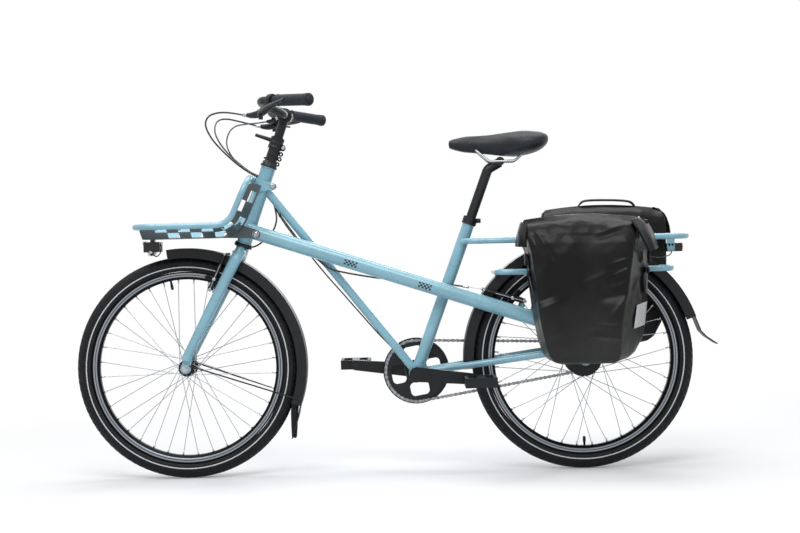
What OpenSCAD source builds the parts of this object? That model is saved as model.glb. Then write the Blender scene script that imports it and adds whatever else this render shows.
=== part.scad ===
// Utility bicycle: low twin-tube frame, frame-mounted front rack with a chequer-cut tray, long rear rack
// with pannier rails, two roll-top panniers, full mudguards and lamps.
// X runs to the rear, Y to the rider's right and Z up. The origin is the sitting point on the saddle.

/* [Wheels] */
// Distance between the two wheel axles
wheelbase = 1082; // [1060:1:1120]
// Outer radius of both tyres
tyre_r = 303.5; // [300:0.5:305]
// Width of the tyre's section
tyre_w = 50; // [44:1:50]
// Inner radius of the rim
rim_in_r = 241.5; // [238:0.5:243]
// Outer radius of the rim's braking track
rim_out_r = 263; // [260:0.5:264]
// Width of the rim
rim_w = 29; // [26:1:31]
// Number of spokes in each wheel
spoke_count = 36; // [28:4:36]
// Diameter of a spoke
spoke_d = 2; // [1.8:0.1:2.2]
// Radius of the front hub's flanges
front_flange_r = 23; // [20:1:26]
// Distance of a front hub flange from the middle plane
front_flange_y = 31; // [28:1:34]
// Radius of the geared rear hub's flanges
rear_flange_r = 50; // [44:1:54]
// Distance of a rear hub flange from the middle plane
rear_flange_y = 29; // [26:1:31]

/* [Frame] */
// Height of the bottom bracket above the ground
bb_z = 274; // [265:1:285]
// Distance of the bottom bracket behind the front axle
bb_x = 626; // [615:1:640]
// Lean of the steering axis from the vertical
head_tilt = 19.5; // [18:0.5:21]
// Distance of the front axle ahead of the steering axis
fork_offset = 40; // [35:1:45]
// Diameter of the head tube
head_d = 40; // [36:1:42]
// Distance of the head tube's lower end along the steering axis
head_low = 373; // [370:1:378]
// Length of the head tube
head_len = 215; // [200:1:225]
// Diameter of each of the two main tubes
main_d = 40; // [34:1:42]
// Height where the main tubes' centre lines meet the steering axis
main_z = 676; // [670:1:682]
// Distance of each main tube from the middle plane at the head tube
main_head_y = 34; // [30:1:36]
// Distance of each main tube from the middle plane at the rear axle
main_rear_y = 66; // [64:1:70]
// Diameter of the thin diagonal tube
diagonal_d = 23; // [18:1:25]
// Diameter of the seat tube
seat_tube_d = 33; // [31:0.5:35]
// Length of the seat tube above the rear rack
seat_above_rack = 65.3; // [60:0.5:80]
// Lean of the seat tube from the vertical
seat_tilt = 20.75; // [19:0.25:22]
// Diameter of the chainstays
stay_d = 19; // [16:1:20]
// Diameter of the bottom bracket shell
shell_d = 42; // [40:1:46]
// Width of the bottom bracket shell
shell_w = 68; // [68:1:73]

/* [Saddle] */
// Diameter of the seatpost
seatpost_d = 27.2; // [25.4:0.1:28]
// Distance of the sitting point behind the front axle
sit_x = 930; // [915:1:940]
// Height of the sitting point above the ground
sit_z = 927; // [915:1:940]
// Width of the saddle at the back
saddle_w = 165; // [150:1:185]

/* [Steering] */
// Half the distance between the fork blades at the crown
fork_half = 52; // [50:1:56]
// Diameter of a fork blade at the crown
blade_top_d = 32; // [28:1:33]
// Diameter of a fork blade at the axle
blade_low_d = 24; // [20:1:26]
// Outer diameter of the stem's clamping sleeve
sleeve_d = 32; // [30:1:36]
// Diameter of the stem's sliding tube
stem_d = 25.4; // [22.2:0.1:26]
// Diameter of the handlebar in its clamp
bar_clamp_d = 25.4; // [25.4:0.1:31.8]
// Diameter of the handlebar at the grips
bar_d = 22.2; // [20:0.1:23]
// Half the width of the handlebar
bar_half = 312; // [290:1:330]

/* [Drive] */
// Teeth on the chainring
ring_teeth = 42; // [38:1:44]
// Teeth on the rear sprocket
cog_teeth = 20; // [16:1:22]
// Pitch of the chain
pitch = 12.7; // [12.7:0.1:12.7]
// Distance of the chain from the middle plane
chain_y = 45; // [43:0.5:48]
// Length of a crank
crank_len = 170; // [160:1:175]
// Rise of the forward crank at rest
crank_tilt = 6; // [0:1:12]
// Length of a pedal's platform, front to back
pedal_len = 84; // [76:1:92]
// Width of a pedal's platform
pedal_w = 94; // [85:1:98]

/* [Mudguards] */
// Outer radius of the mudguards
guard_r = 327; // [325:0.5:329]
// Inner width of the mudguards
guard_w = 61; // [60:1:63]
// Depth of a mudguard's side skirts
skirt = 27; // [20:1:29]
// Thickness of a mudguard
guard_t = 2; // [1.5:0.5:2.5]

/* [Racks] */
// Diameter of the rack tubes
rail_d = 16; // [12:1:16]
// Height of the rear rack's upper rails
rack_z = 630; // [622:1:640]
// Drop of the pannier rails below the rear rack
pannier_drop = 86; // [80:1:92]
// Distance of the rear rack's rails from the middle plane
rack_y = 66; // [60:1:72]
// Distance of the rear rack's end behind the rear axle
rack_reach = 294; // [260:1:310]
// Height of the front rack's rails
porteur_z = 689; // [684:1:694]
// Distance of the front rack's rails from the middle plane
porteur_y = 150; // [140:1:165]
// Distance of the front rack's front bar ahead of the front axle
porteur_front = 117; // [110:1:125]
// Depth of the tray below the rails
tray_drop = 33; // [28:1:36]
// Half the width of the tray's flat floor
tray_half = 79; // [70:1:85]
// Thickness of the tray's sheet
tray_t = 2; // [1.5:0.5:3]
// Side of a square of the tray's chequer pattern
square_w = 31; // [26:1:33]

/* [Panniers] */
// Depth of a pannier, from the rails outwards
bag_depth = 140; // [120:1:150]
// Height of a pannier's top above the ground
bag_top = 690; // [680:1:700]
// Height of a pannier's bottom above the ground
bag_low = 303; // [290:1:320]

/* [Clearances] */
// Gap between a part that is held and its seat
seat_gap = 0.3; // [0.2:0.1:0.4]
// Radial gap of a running bearing
bearing_gap = 0.1; // [0.05:0.05:0.1]

/* [Hidden] */
$fn = 48;
fine = 96;

paint = "#86b3bd";
black = "#26282b";
rubber = "#1d1f22";
steel = "#c4c7c9";
alloy = "#9a9da0";

axle_z = tyre_r;
seat_tube_len = (rack_z - bb_z) / cos(seat_tilt) + seat_above_rack;
pannier_rail_z = rack_z - pannier_drop;
rack_end = wheelbase + rack_reach;
// Foot of the perpendicular from the front axle to the steering axis
foot_x = fork_offset * cos(head_tilt);
foot_z = axle_z - fork_offset * sin(head_tilt);
head_top = head_low + head_len;
main_s = (main_z - foot_z) / cos(head_tilt);
seat_dir = [sin(seat_tilt), 0, cos(seat_tilt)];
bb = [bb_x, 0, bb_z];
rear_axle = [wheelbase, 0, axle_z];
ring_r = pitch / 2 / sin(180 / ring_teeth);
cog_r = pitch / 2 / sin(180 / cog_teeth);
steerer_d = 28.6;
ring_half = 0.8;
ring_rise = 0.2;
joint_slit = 0.3;
fork_end_y = 56;
flap_w = 50;
flap_t = 3;
spindle_d = 17;
axle_d = 10;
brace_d = 22;
diagonal_s = 537;
post_depth = 120;
dropout_t = 6;
dropout_y = 67.5;
pannier_rail_y = rack_y + 14.4;
rack_stay_d = 12;
stay_foot_t = 0.86;
front_stay_top = [wheelbase - 80, rack_y, rack_z];
rear_stay_top = [wheelbase + 168, rack_y, rack_z];
rear_stay_foot = [wheelbase + 4, dropout_y + dropout_t / 2, 350];
nut_r = 8.5;
nut_h = 9;
axle_end = 5;
// Corners of the right chainstay: straight past the chainring, then out round the wheel
stay_start = [bb_x, 24, bb_z];
stay_bend_a = [bb_x + 88, 28, bb_z + 12];
stay_bend_b = [wheelbase - 308, 45, bb_z + 20];
stay_end = [wheelbase - 26, dropout_y - 1, axle_z + 27];

// Point on the steering axis at distance s from its foot, moved forward by f and sideways by y
function head_pt(s, f = 0, y = 0) =
    [foot_x + s * sin(head_tilt) - f * cos(head_tilt), y, foot_z + s * cos(head_tilt) + f * sin(head_tilt)];
// Point on the seat tube's axis at distance s from the bottom bracket
function seat_pt(s, y = 0) = bb + s * seat_dir + [0, y, 0];
function unit(v) = v / norm(v);
function mix(a, b, t) = a + (b - a) * t;
function side_pt(p, side) = [p.x, p.y * side, p.z];

// ---------- helpers ----------
module in_bike() { translate([-sit_x, 0, -sit_z]) children(); }

module on_steering() { translate([foot_x, 0, foot_z]) rotate([0, head_tilt, 0]) children(); }

module both_sides() { children(); mirror([0, 1, 0]) children(); }

// Puts the local Z axis along v, starting at a
module along(a, v) {
    z = unit(v);
    x = unit(abs(z.y) > 0.99 ? cross([0, 0, 1], z) : cross([0, 1, 0], z));
    y = cross(z, x);
    multmatrix([[x.x, y.x, z.x, a.x], [x.y, y.y, z.y, a.y], [x.z, y.z, z.z, a.z], [0, 0, 0, 1]]) children();
}

module rod(a, b, d, d2 = undef) {
    along(a, b - a) cylinder(h = norm(b - a), d1 = d, d2 = is_undef(d2) ? d : d2);
}

module cross_rod(p, d, w) { translate(p) rotate([90, 0, 0]) cylinder(h = w, d = d, center = true); }

// Part of a ring that joins two straight runs with a bend of radius r at point b
module elbow(a, b, c, r, d) {
    u = unit(b - a);
    w = unit(c - b);
    ang = acos(u * w);
    p = b - u * r * tan(ang / 2);
    n = unit(w - u * (u * w));
    o = p + n * r;
    k = cross(-n, u);
    multmatrix([[-n.x, u.x, k.x, o.x], [-n.y, u.y, k.y, o.y], [-n.z, u.z, k.z, o.z], [0, 0, 0, 1]])
        rotate_extrude(angle = ang) translate([r, 0]) circle(d = d);
}

// Thin ring over the joint of a straight run and a bend
module joint_ring(p, v, d) {
    u = unit(v);
    rod(p - u * ring_half, p + u * ring_half, d + ring_rise);
}

// Set-back of a bend from its corner
function back(a, b, c, r) = r * tan(acos(unit(b - a) * unit(c - b)) / 2);

// Straight run from a to b between bends that start s before it and end e after it
module run(a, b, s, e, d) {
    u = unit(b - a);
    rod(a + u * (s > 0 ? s + joint_slit : 0), b - u * (e > 0 ? e + joint_slit : 0), d);
    if (s > 0) joint_ring(a + u * s, u, d);
    if (e > 0) joint_ring(b - u * e, u, d);
}

// Tube of diameter d along the corners pts, bent at corner i with radius radii[i]
module bent_tube(pts, radii, d) {
    n = len(pts);
    for (i = [0:n - 2])
        run(pts[i], pts[i + 1], i == 0 ? 0 : back(pts[i - 1], pts[i], pts[i + 1], radii[i]),
            i == n - 2 ? 0 : back(pts[i], pts[i + 1], pts[i + 2], radii[i + 1]), d);
    for (i = [1:n - 2]) elbow(pts[i - 1], pts[i], pts[i + 1], radii[i], d);
}

// Closed tube round the corners pts
module closed_tube(pts, radii, d) {
    n = len(pts);
    for (i = [0:n - 1]) {
        a = pts[(i + n - 1) % n];
        b = pts[i];
        c = pts[(i + 1) % n];
        run(b, c, back(a, b, c, radii[i]), back(b, c, pts[(i + 2) % n], radii[(i + 1) % n]), d);
        elbow(a, b, c, radii[i], d);
    }
}

// Solid skinned over closed rings of equal length
module skin(rings) {
    n = len(rings[0]);
    m = len(rings);
    sides = [for (i = [0:m - 2]) for (j = [0:n - 1])
        let (a = i * n + j, b = i * n + (j + 1) % n) each [[a, b, b + n], [a, b + n, a + n]]];
    polyhedron(points = [for (r = rings) each r],
        faces = concat(sides, [[for (j = [n - 1:-1:0]) j]], [[for (j = [0:n - 1]) (m - 1) * n + j]]));
}

// ---------- frame ----------
// Line of a main tube, from the head tube to the rear dropout
main_front = [head_pt(main_s).x, main_head_y, main_z];
main_back = [wheelbase - 6, main_rear_y, 374];
function main_pt(t) = mix(main_front, main_back, t);

module head_tube() {
    color(paint) on_steering() translate([0, 0, head_low]) difference() {
        cylinder(h = head_len, d = head_d);
        translate([0, 0, -1]) cylinder(h = head_len + 2, d = 30);
    }
    color(black) on_steering() {
        translate([0, 0, head_low - 9]) difference() {
            cylinder(h = 9, d1 = 42, d2 = 46);
            translate([0, 0, -1]) cylinder(h = 11, d = 30);
        }
        translate([0, 0, head_top]) difference() {
            cylinder(h = 8, d1 = 46, d2 = 42);
            translate([0, 0, -1]) cylinder(h = 10, d = 30);
        }
    }
}

// Share of the main tube's length where it passes the seat tube
main_slope = (main_back.z - main_front.z) / (main_back.x - main_front.x);
cross_s = (main_front.z - bb_z + main_slope * (bb_x - main_front.x)) / (cos(seat_tilt) - main_slope * sin(seat_tilt));
main_seat_t = (seat_pt(cross_s).x - main_front.x) / (main_back.x - main_front.x);

module main_tubes() {
    brace = main_pt(main_seat_t);
    color(paint) both_sides() difference() {
        union() {
            rod(main_front, main_back, main_d);
            rod([brace.x, 0, brace.z], brace, brace_d);
            rod(rear_stud - 28 * stud_up, rear_stud - (arm_low_d / 2 + seat_gap) * stud_up, stud_d);
        }
        on_steering() translate([0, 0, head_low - 60]) cylinder(h = head_len, d = head_d + 2 * seat_gap);
        rod(seat_pt(100), seat_pt(400), seat_tube_d + 2 * seat_gap);
        translate([wheelbase - 60, dropout_y - seat_gap, 280]) cube([120, dropout_t + 2 * seat_gap, 140]);
    }
}

module diagonal_tube() {
    color(paint) difference() {
        rod(head_pt(diagonal_s), bb, diagonal_d);
        on_steering() translate([0, 0, head_low]) cylinder(h = head_len, d = head_d + 2 * seat_gap);
        cross_rod(bb, shell_d + 2 * seat_gap, shell_w);
        rod(bb, seat_pt(200), seat_tube_d + 2 * seat_gap);
    }
}

module seat_tube() {
    color(paint) difference() {
        rod(bb, seat_pt(seat_tube_len), seat_tube_d);
        rod(seat_pt(seat_tube_len - post_depth - 2), seat_pt(seat_tube_len + 1), seatpost_d + 2 * seat_gap);
        cross_rod(bb, shell_d + 2 * seat_gap, shell_w);
    }
}

module bottom_bracket() {
    color(paint) difference() {
        cross_rod(bb, shell_d, shell_w);
        cross_rod(bb, spindle_d + 2 * bearing_gap, shell_w + 2);
    }
}

module dropout() {
    translate([0, dropout_y + dropout_t, 0]) rotate([90, 0, 0]) linear_extrude(dropout_t) difference() {
        hull() {
            translate([wheelbase, axle_z]) circle(r = 17);
            translate([stay_end.x, stay_end.z]) circle(r = stay_d / 2);
            translate([main_back.x, main_back.z]) circle(r = 16);
        }
        translate([wheelbase, axle_z]) circle(d = axle_d + 2 * seat_gap);
    }
}

module chainstays() {
    color(paint) both_sides() difference() {
        union() {
            bent_tube([stay_start, stay_bend_a, stay_bend_b, stay_end], [0, 60, 60, 0], stay_d);
            dropout();
        }
        cross_rod(bb, shell_d + 2 * seat_gap, 200);
        rod(bb, seat_pt(200), seat_tube_d + 2 * seat_gap);
    }
}

module rack_stays() {
    color(paint) both_sides() difference() {
        union() {
            rod(main_pt(stay_foot_t), front_stay_top, rack_stay_d);
            rod(rear_stay_foot, rear_stay_top, rack_stay_d);
        }
        rod(main_front, main_back, main_d + 2 * seat_gap);
        rod(front_stay_top - [90, 0, 0], rear_stay_top + [50, 0, 0], rail_d + 2 * seat_gap);
        translate([wheelbase - 60, dropout_y - seat_gap, 280]) cube([120, dropout_t + 2 * seat_gap, 140]);
    }
}

// ---------- racks ----------
rack_front = seat_pt((rack_z - bb_z) / cos(seat_tilt)).x + 2;

module rear_rack() {
    r = 38;
    color(paint) difference() {
        union() {
            closed_tube([[rack_front, -rack_y, rack_z], [rack_end - rail_d / 2, -rack_y, rack_z],
                [rack_end - rail_d / 2, rack_y, rack_z], [rack_front, rack_y, rack_z]], [r, r, r, r], rail_d);
            for (x = [905, lamp_x]) cross_rod([x, 0, rack_z], 12, 2 * rack_y);
        }
        rod(seat_pt(300), seat_pt(430), seat_tube_d + 2 * seat_gap);
    }
}

module pannier_rails() {
    r = 34;
    z = pannier_rail_z;
    // The front bar rests on the mudguard
    reach = guard_r + rail_d / 2 + seat_gap;
    front = wheelbase - sqrt(reach * reach - (z - axle_z) * (z - axle_z));
    back = wheelbase + 240;
    color(paint) difference() {
        closed_tube([[front, -pannier_rail_y, z], [back, -pannier_rail_y, z],
            [back, pannier_rail_y, z], [front, pannier_rail_y, z]], [r, r, r, r], rail_d);
        both_sides() {
            rod(main_pt(stay_foot_t), front_stay_top, rack_stay_d + 2 * seat_gap);
            rod(rear_stay_foot, rear_stay_top, rack_stay_d + 2 * seat_gap);
        }
    }
}

// Path of the front rack's rails in the side plane
back_tilt = 24.4;
rail_bend_r = 55;
back_len = 138;
// The top bar rests against the front of the head tube
rail_top_z = porteur_z + back_len * cos(back_tilt);
rail_top = [foot_x + ((rail_top_z - foot_z) * sin(head_tilt) - head_d / 2 - rail_d / 2 - seat_gap) / cos(head_tilt),
    rail_top_z];
rail_corner = rail_top - back_len * [sin(back_tilt), cos(back_tilt)];
bend_back = rail_bend_r * tan((90 - back_tilt) / 2);

module front_rack() {
    y = porteur_y;
    x0 = -porteur_front;
    color(paint) closed_tube([[x0, -y, porteur_z], [rail_corner.x, -y, rail_corner.y],
        [rail_top.x, -y, rail_top.y], [rail_top.x, y, rail_top.y],
        [rail_corner.x, y, rail_corner.y], [x0, y, porteur_z]],
        [corner_r, rail_bend_r, corner_r, corner_r, rail_bend_r, corner_r], rail_d);
}

// Section of the tray across the bike: two wings that slope down to a flat floor
module tray_section() {
    polygon([[-tray_rim_y, 0], [-tray_half, -tray_drop], [tray_half, -tray_drop], [tray_rim_y, 0],
        [tray_rim_y, tray_t], [tray_half - 1, tray_t - tray_drop], [1 - tray_half, tray_t - tray_drop],
        [-tray_rim_y, tray_t]]);
}

// Section through the squares of one row of the chequer pattern, row 0 beside the rails
module square_section(row) {
    slope = atan2(tray_drop, tray_rim_y - tray_half);
    share = row == 0 ? 0.27 : 0.74;
    for (s = [-1, 1])
        translate([s * (tray_rim_y - share * (tray_rim_y - tray_half)), -share * tray_drop])
            rotate(s * slope) square([square_w, 14], center = true);
}

tray_rim_y = porteur_y - rail_d / 2 - seat_gap;
tray_front = -porteur_front + 14;
bend_x = rail_corner.x - bend_back;
bend_angle = 90 - back_tilt;
square_start = tray_front + 41;
corner_r = 50;

// Extrudes a section drawn across the bike for a length, rearwards
module tray_run(len) {
    multmatrix([[0, 0, 1, 0], [1, 0, 0, 0], [0, 1, 0, 0], [0, 0, 0, 1]]) linear_extrude(len) children();
}

// Carries a section round the tray's bend, over an angle
module tray_bend(angle) {
    c = [bend_x, porteur_z + rail_bend_r];
    multmatrix([[0, 1, 0, c.x], [0, 0, -1, 0], [-1, 0, 0, c.y], [0, 0, 0, 1]])
        rotate_extrude(angle = angle) translate([rail_bend_r, 0]) rotate([0, 0, 90]) children();
}

// Turns a part of the bend on by an angle
module turn_in_bend(angle) {
    c = [bend_x, 0, porteur_z + rail_bend_r];
    translate(c) rotate([0, -angle, 0]) translate(-c) children();
}

module on_back() {
    translate([rail_corner.x, 0, rail_corner.y]) rotate([0, -bend_angle, 0]) translate([bend_back, 0, 0]) children();
}

// Space between the rails, which ends in their rounded corners
module between_rails(near, far) {
    r = corner_r - rail_d / 2 - seat_gap;
    translate([0, 0, -tray_drop - 20]) linear_extrude(tray_drop + 40) hull() {
        for (s = [-1, 1]) translate([far, s * (porteur_y - corner_r)]) circle(r = r);
        translate([min(near, far) == near ? near : near - 1, -porteur_y]) square([1, 2 * porteur_y]);
    }
}

module tray_squares() {
    for (row = [0, 1]) for (k = [0:2 - row])
        translate([square_start + (2 * k + row) * square_w, 0, porteur_z]) tray_run(square_w) square_section(row);
    // In the bend a square takes the angle of its length at the row's own radius
    turn_in_bend(14) tray_bend(square_w / (rail_bend_r + 9) * 180 / PI) square_section(0);
    turn_in_bend(-4) tray_bend(square_w / (rail_bend_r + 25) * 180 / PI) square_section(1);
    turn_in_bend(41) tray_bend(square_w / (rail_bend_r + 25) * 180 / PI) square_section(1);
    on_back() translate([10, 0, 0]) tray_run(square_w) square_section(0);
    on_back() translate([10 + square_w, 0, 0]) tray_run(square_w) square_section(1);
}

// Side plates that bolt the tray to the outer sides of the main tubes
module tray_plates() {
    y = main_head_y + main_d / 2 + plate_clear;
    both_sides() translate([0, y + plate_t, 0]) rotate([90, 0, 0]) linear_extrude(plate_t) difference() {
        hull() {
            translate([tray_bolt.x, tray_bolt.z]) circle(r = 12);
            translate([bend_x + 12, porteur_z - tray_drop]) square([10, 3]);
            translate([bend_x + 56, porteur_z - 4]) circle(r = 6);
        }
        translate([tray_bolt.x, tray_bolt.z]) circle(d = 6);
    }
}

plate_t = 3;
plate_clear = 2.2;
tray_bolt = [200, 0, 664];

module front_tray() {
    color(paint) {
        difference() {
            union() {
                intersection() {
                    translate([tray_front, 0, porteur_z]) tray_run(bend_x - tray_front + joint_slit) tray_section();
                    translate([0, 0, porteur_z]) between_rails(bend_x + 1, corner_r - porteur_front);
                }
                tray_bend(bend_angle) tray_section();
                on_back() intersection() {
                    translate([-joint_slit, 0, 0]) tray_run(back_len - bend_back) tray_section();
                    between_rails(-1, back_len - bend_back - corner_r);
                }
            }
            translate([150, -57, 600]) cube([140, 114, 300]);
            tray_squares();
        }
        tray_plates();
    }
}

// ---------- saddle ----------
module seat_collar() {
    low = seat_tube_len - 16;
    color(black) difference() {
        union() {
            rod(seat_pt(low), seat_pt(seat_tube_len + 4), seat_tube_d + 7);
            along(seat_pt(seat_tube_len - 6), [1, 0, 0]) translate([0, 0, 12]) cylinder(h = 18, d = 13);
        }
        rod(seat_pt(low - 20), seat_pt(seat_tube_len), seat_tube_d + 2 * seat_gap);
        rod(seat_pt(low - 20), seat_pt(seat_tube_len + 30), seatpost_d + 2 * seat_gap);
    }
}

clamp_pt = [868, 0, 846];
module seatpost() {
    knee = seat_pt(590);
    color(black) difference() {
        union() {
            bent_tube([seat_pt(seat_tube_len - post_depth), knee, clamp_pt - [0, 0, 2]], [0, 20, 0], seatpost_d);
            cross_rod(clamp_pt, 24, 44);
        }
        both_sides() rod(clamp_pt + [-60, 22, 0], clamp_pt + [60, 22, 0], saddle_rail_d + 2 * seat_gap);
    }
}

saddle_rail_d = 7;
module rail_wire(d) {
    bent_tube([[796, 12, 884], [838, 22, 846], [908, 22, 846], [950, 32, 884]], [0, 18, 18, 0], d);
}

module saddle_rails() { color(steel) both_sides() rail_wire(saddle_rail_d); }

// Saddle stations: distance behind the front axle, half width, height of the top, height of the skirt
saddle_rows = [[725, 12, 905, 890], [732, 20, 911, 883], [760, 24, 914, 878], [800, 27, 915, 874],
    [840, 34, 917, 869], [880, 52, 921, 864], [915, 72, 925, 862], [950, 82, 927, 865],
    [980, 76, 926, 874], [996, 58, 921, 887], [1001, 40, 915, 896]];

function saddle_ring(row) = let (m = 20, h = row[2] - row[3], w = row[1] * saddle_w / 164) [for (i = [0:m - 1])
    let (a = 360 * i / m, c = cos(a), q = sin(a))
    [row[0], w * sign(c) * pow(abs(c), 0.75), row[3] + h * (q > 0 ? 0.45 + 0.55 * pow(q, 0.8) : 0.45 + 0.45 * q)]];

module saddle() {
    color(black) difference() {
        skin([for (r = saddle_rows) saddle_ring(r)]);
        both_sides() rail_wire(saddle_rail_d + 2 * seat_gap);
    }
}

// ---------- mudguards and lamps ----------
// Mudguard: a channel revolved round an axle, from angle a to angle b, measured from the rear over the top
module guard_arc(x, a, b) {
    translate([x, 0, axle_z]) rotate([90, 0, 0]) rotate([0, 0, a]) rotate_extrude(angle = b - a, $fn = fine)
        guard_section();
}

module guard_section() {
    w = guard_w / 2 + guard_t;
    difference() {
        translate([guard_r - skirt, -w]) square([skirt, 2 * w]);
        translate([guard_r - skirt - 1, -guard_w / 2]) square([skirt + 1 - guard_t, guard_w]);
    }
}

// Flap of a mudguard: a strip across the wheel along the steps, which start from the guard's skin at angle a
module guard_flap(x, a, steps) {
    n = len(steps);
    pts = [for (q = steps) (guard_r - guard_t) * [cos(a), sin(a)] + q];
    normals = [for (i = [0:n - 1]) let (v = unit(pts[min(i + 1, n - 1)] - pts[max(i - 1, 0)])) [-v.y, v.x]];
    translate([x, flap_w / 2, axle_z]) rotate([90, 0, 0]) linear_extrude(flap_w)
        polygon(concat([for (i = [0:n - 1]) pts[i] + normals[i] * flap_t / 2],
            [for (i = [n - 1:-1:0]) pts[i] - normals[i] * flap_t / 2]));
}

module guard_stay(x, foot, a) {
    both_sides() rod([x + foot.x, foot.y, axle_z + foot.z],
        [x + (guard_r - 14) * cos(a), guard_w / 2 + guard_t + 1.2, axle_z + (guard_r - 14) * sin(a)], 4);
}

module rear_mudguard() {
    color(black) difference() {
        union() {
            guard_arc(wheelbase, 19, 184);
            guard_flap(wheelbase, 19.7, [[0, 0], [17, -44], [32, -60], [61, -80]]);
        }
        both_sides() bent_tube([stay_start, stay_bend_a, stay_bend_b, stay_end], [0, 60, 60, 0],
            stay_d + 2 * seat_gap);
    }
}

lamp_x = rack_end - 38;
module tail_lamp() {
    color(black) translate([lamp_x - 19, -24, rack_z - 42]) cube([40, 48, 23]);
    color(steel) difference() {
        translate([lamp_x - 2, -9, rack_z - 20]) cube([4, 18, 20]);
        cross_rod([lamp_x, 0, rack_z], 12 + 2 * seat_gap, 60);
    }
}

module front_lamp() {
    x = 7 - porteur_front;
    top = porteur_z - tray_drop - seat_gap;
    color(black) {
        translate([x, -27, top - 34]) cube([44, 54, 28]);
        translate([x + 16, -9, top - 8]) cube([12, 18, 8]);
    }
}

// ---------- brakes ----------
// A linear-pull brake: two arms on studs, each with a pad that faces the rim
stud_d = 10;
stud_y = 46;
arm_low_d = 15;
rear_stud = [wheelbase - 159, stud_y, axle_z + 160];
front_stud = [71, stud_y, axle_z + 213];
main_dir = unit([main_back.x - main_front.x, 0, main_back.z - main_front.z]);
stud_up = [-main_dir.z, 0, main_dir.x];
module brake_arm(stud, top) { both_sides() rod(stud, top, arm_low_d, 9); }

module front_brake() { color(black) brake_arm(front_stud, [114, 46, axle_z + 308]); }

module rear_brake() { color(black) brake_arm(rear_stud, [wheelbase - 268, 46, axle_z + 193]); }

// ---------- soft bags ----------
function bag_ring(z, x0, x1, y0, y1, r) = [for (q = [[x1, y1, 0], [x0, y1, 90], [x0, y0, 180], [x1, y0, 270]])
    for (i = [0:3]) let (a = q[2] + 30 * i, cx = q[0] == x1 ? x1 - r : x0 + r, cy = q[1] == y1 ? y1 - r : y0 + r)
    [cx + r * cos(a), cy + r * sin(a), z]];

module pannier(shift, lift) {
    y0 = pannier_rail_y + rail_d / 2 + seat_gap;
    y1 = y0 + bag_depth;
    translate([wheelbase + shift, 0, lift]) color(black) skin([
        bag_ring(bag_low, -82, 88, y0 + 6, y1 - 22, 20),
        bag_ring(bag_low + 8, -97, 108, y0, y1 - 12, 24),
        bag_ring(bag_low + 60, -114, 140, y0, y1, 28),
        bag_ring(bag_low + 200, -142, 156, y0, y1, 28),
        bag_ring(bag_low + 300, -164, 164, y0, y1 - 6, 28),
        bag_ring(bag_top - 32, -177, 164, y0 + 4, y1 - 34, 24),
        bag_ring(bag_top - 8, -162, 138, y0 + 20, y1 - 56, 20),
        bag_ring(bag_top, -132, 108, y0 + 30, y1 - 68, 16)]);
}

module right_pannier() { pannier(85, 30); }

module left_pannier() { mirror([0, 1, 0]) pannier(0, 0); }

// ---------- steering ----------
crown_s = 346;
crown_r = 30;
fork_foot = [0, fork_end_y, axle_z + 24];

module fork_end() {
    translate([0, fork_end_y, 0]) rotate([90, 0, 0]) linear_extrude(6) difference() {
        hull() {
            translate([0, axle_z]) circle(r = 14);
            translate([fork_foot.x + 8, fork_foot.z + 6]) circle(r = 9);
        }
        translate([0, axle_z]) circle(d = axle_d + 2 * seat_gap);
    }
}

module fork() {
    crown = head_pt(crown_s);
    knee = head_pt(crown_s, 0, fork_half);
    down = unit(fork_foot - knee);
    bend = back(crown, knee, fork_foot, crown_r);
    stud_back = unit([-down.z, 0, down.x]);
    color(paint) {
        rod(head_pt(crown_s - 4), head_pt(head_low - 9 - seat_gap), 36);
        rod(head_pt(head_low - 12), head_pt(head_top + 8 + seat_gap), steerer_d);
        both_sides() {
            run(crown + [0, 4, 0], knee, 0, bend, blade_top_d);
            elbow(crown, knee, fork_foot, crown_r, blade_top_d);
            joint_ring(knee + down * bend, down, blade_top_d);
            rod(knee + down * (bend + joint_slit), fork_foot, blade_top_d, blade_low_d);
            rod(front_stud + 26 * stud_back, front_stud + (arm_low_d / 2 + seat_gap) * stud_back, stud_d);
            fork_end();
        }
    }
}

stem_low = head_top + 8 + 2 * seat_gap;
clamp_s = 737;
sleeve_len = 80;
module stem() {
    color(black) {
        difference() {
            union() {
                rod(head_pt(stem_low), head_pt(stem_low + sleeve_len), sleeve_d);
                rod(head_pt(stem_low + sleeve_len - 24), head_pt(stem_low + sleeve_len - 2), sleeve_d + 6);
                rod(head_pt(stem_low + sleeve_len), head_pt(clamp_s), stem_d);
                cross_rod(head_pt(clamp_s), bar_clamp_d + 14, 44);
            }
            cross_rod(head_pt(clamp_s), bar_clamp_d + 2 * seat_gap, 60);
        }
        rod(head_pt(stem_low + sleeve_len - 13, 10), head_pt(stem_low + sleeve_len - 13, 62), 12, 9);
    }
}

bar_mid = head_pt(clamp_s);
bar_bend = bar_mid + [-62, 158, 28];
bar_end = [368, bar_half, 998];
grip_dir = unit(bar_end - bar_bend);
grip_len = 122;
function bar_pt(s) = bar_end - grip_dir * s;

module handlebar() {
    inner = bar_mid + [0, 58, 0];
    color(black) {
        rod(bar_mid - [0, 40, 0], bar_mid + [0, 40, 0], bar_clamp_d);
        both_sides() bent_tube([bar_mid + [0, 8, 0], inner, bar_bend, bar_end], [0, 40, 45, 0], bar_d);
    }
}

module grips() {
    color(rubber) both_sides() difference() {
        rod(bar_pt(-5), bar_pt(grip_len), 33);
        rod(bar_pt(-1), bar_pt(grip_len + 1), bar_d + 2 * seat_gap);
    }
}

module brake_levers() {
    at = bar_pt(grip_len + 10);
    drop = [-26, 0, -34];
    color(black) both_sides() difference() {
        union() {
            rod(bar_pt(grip_len + 2), bar_pt(grip_len + 18), bar_d + 12);
            rod(at, at + drop, 20);
            rod(at + drop, at + drop + [62, 96, 2], 12, 10);
        }
        rod(bar_pt(grip_len), bar_pt(grip_len + 60), bar_d + 2 * seat_gap);
    }
}

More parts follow.
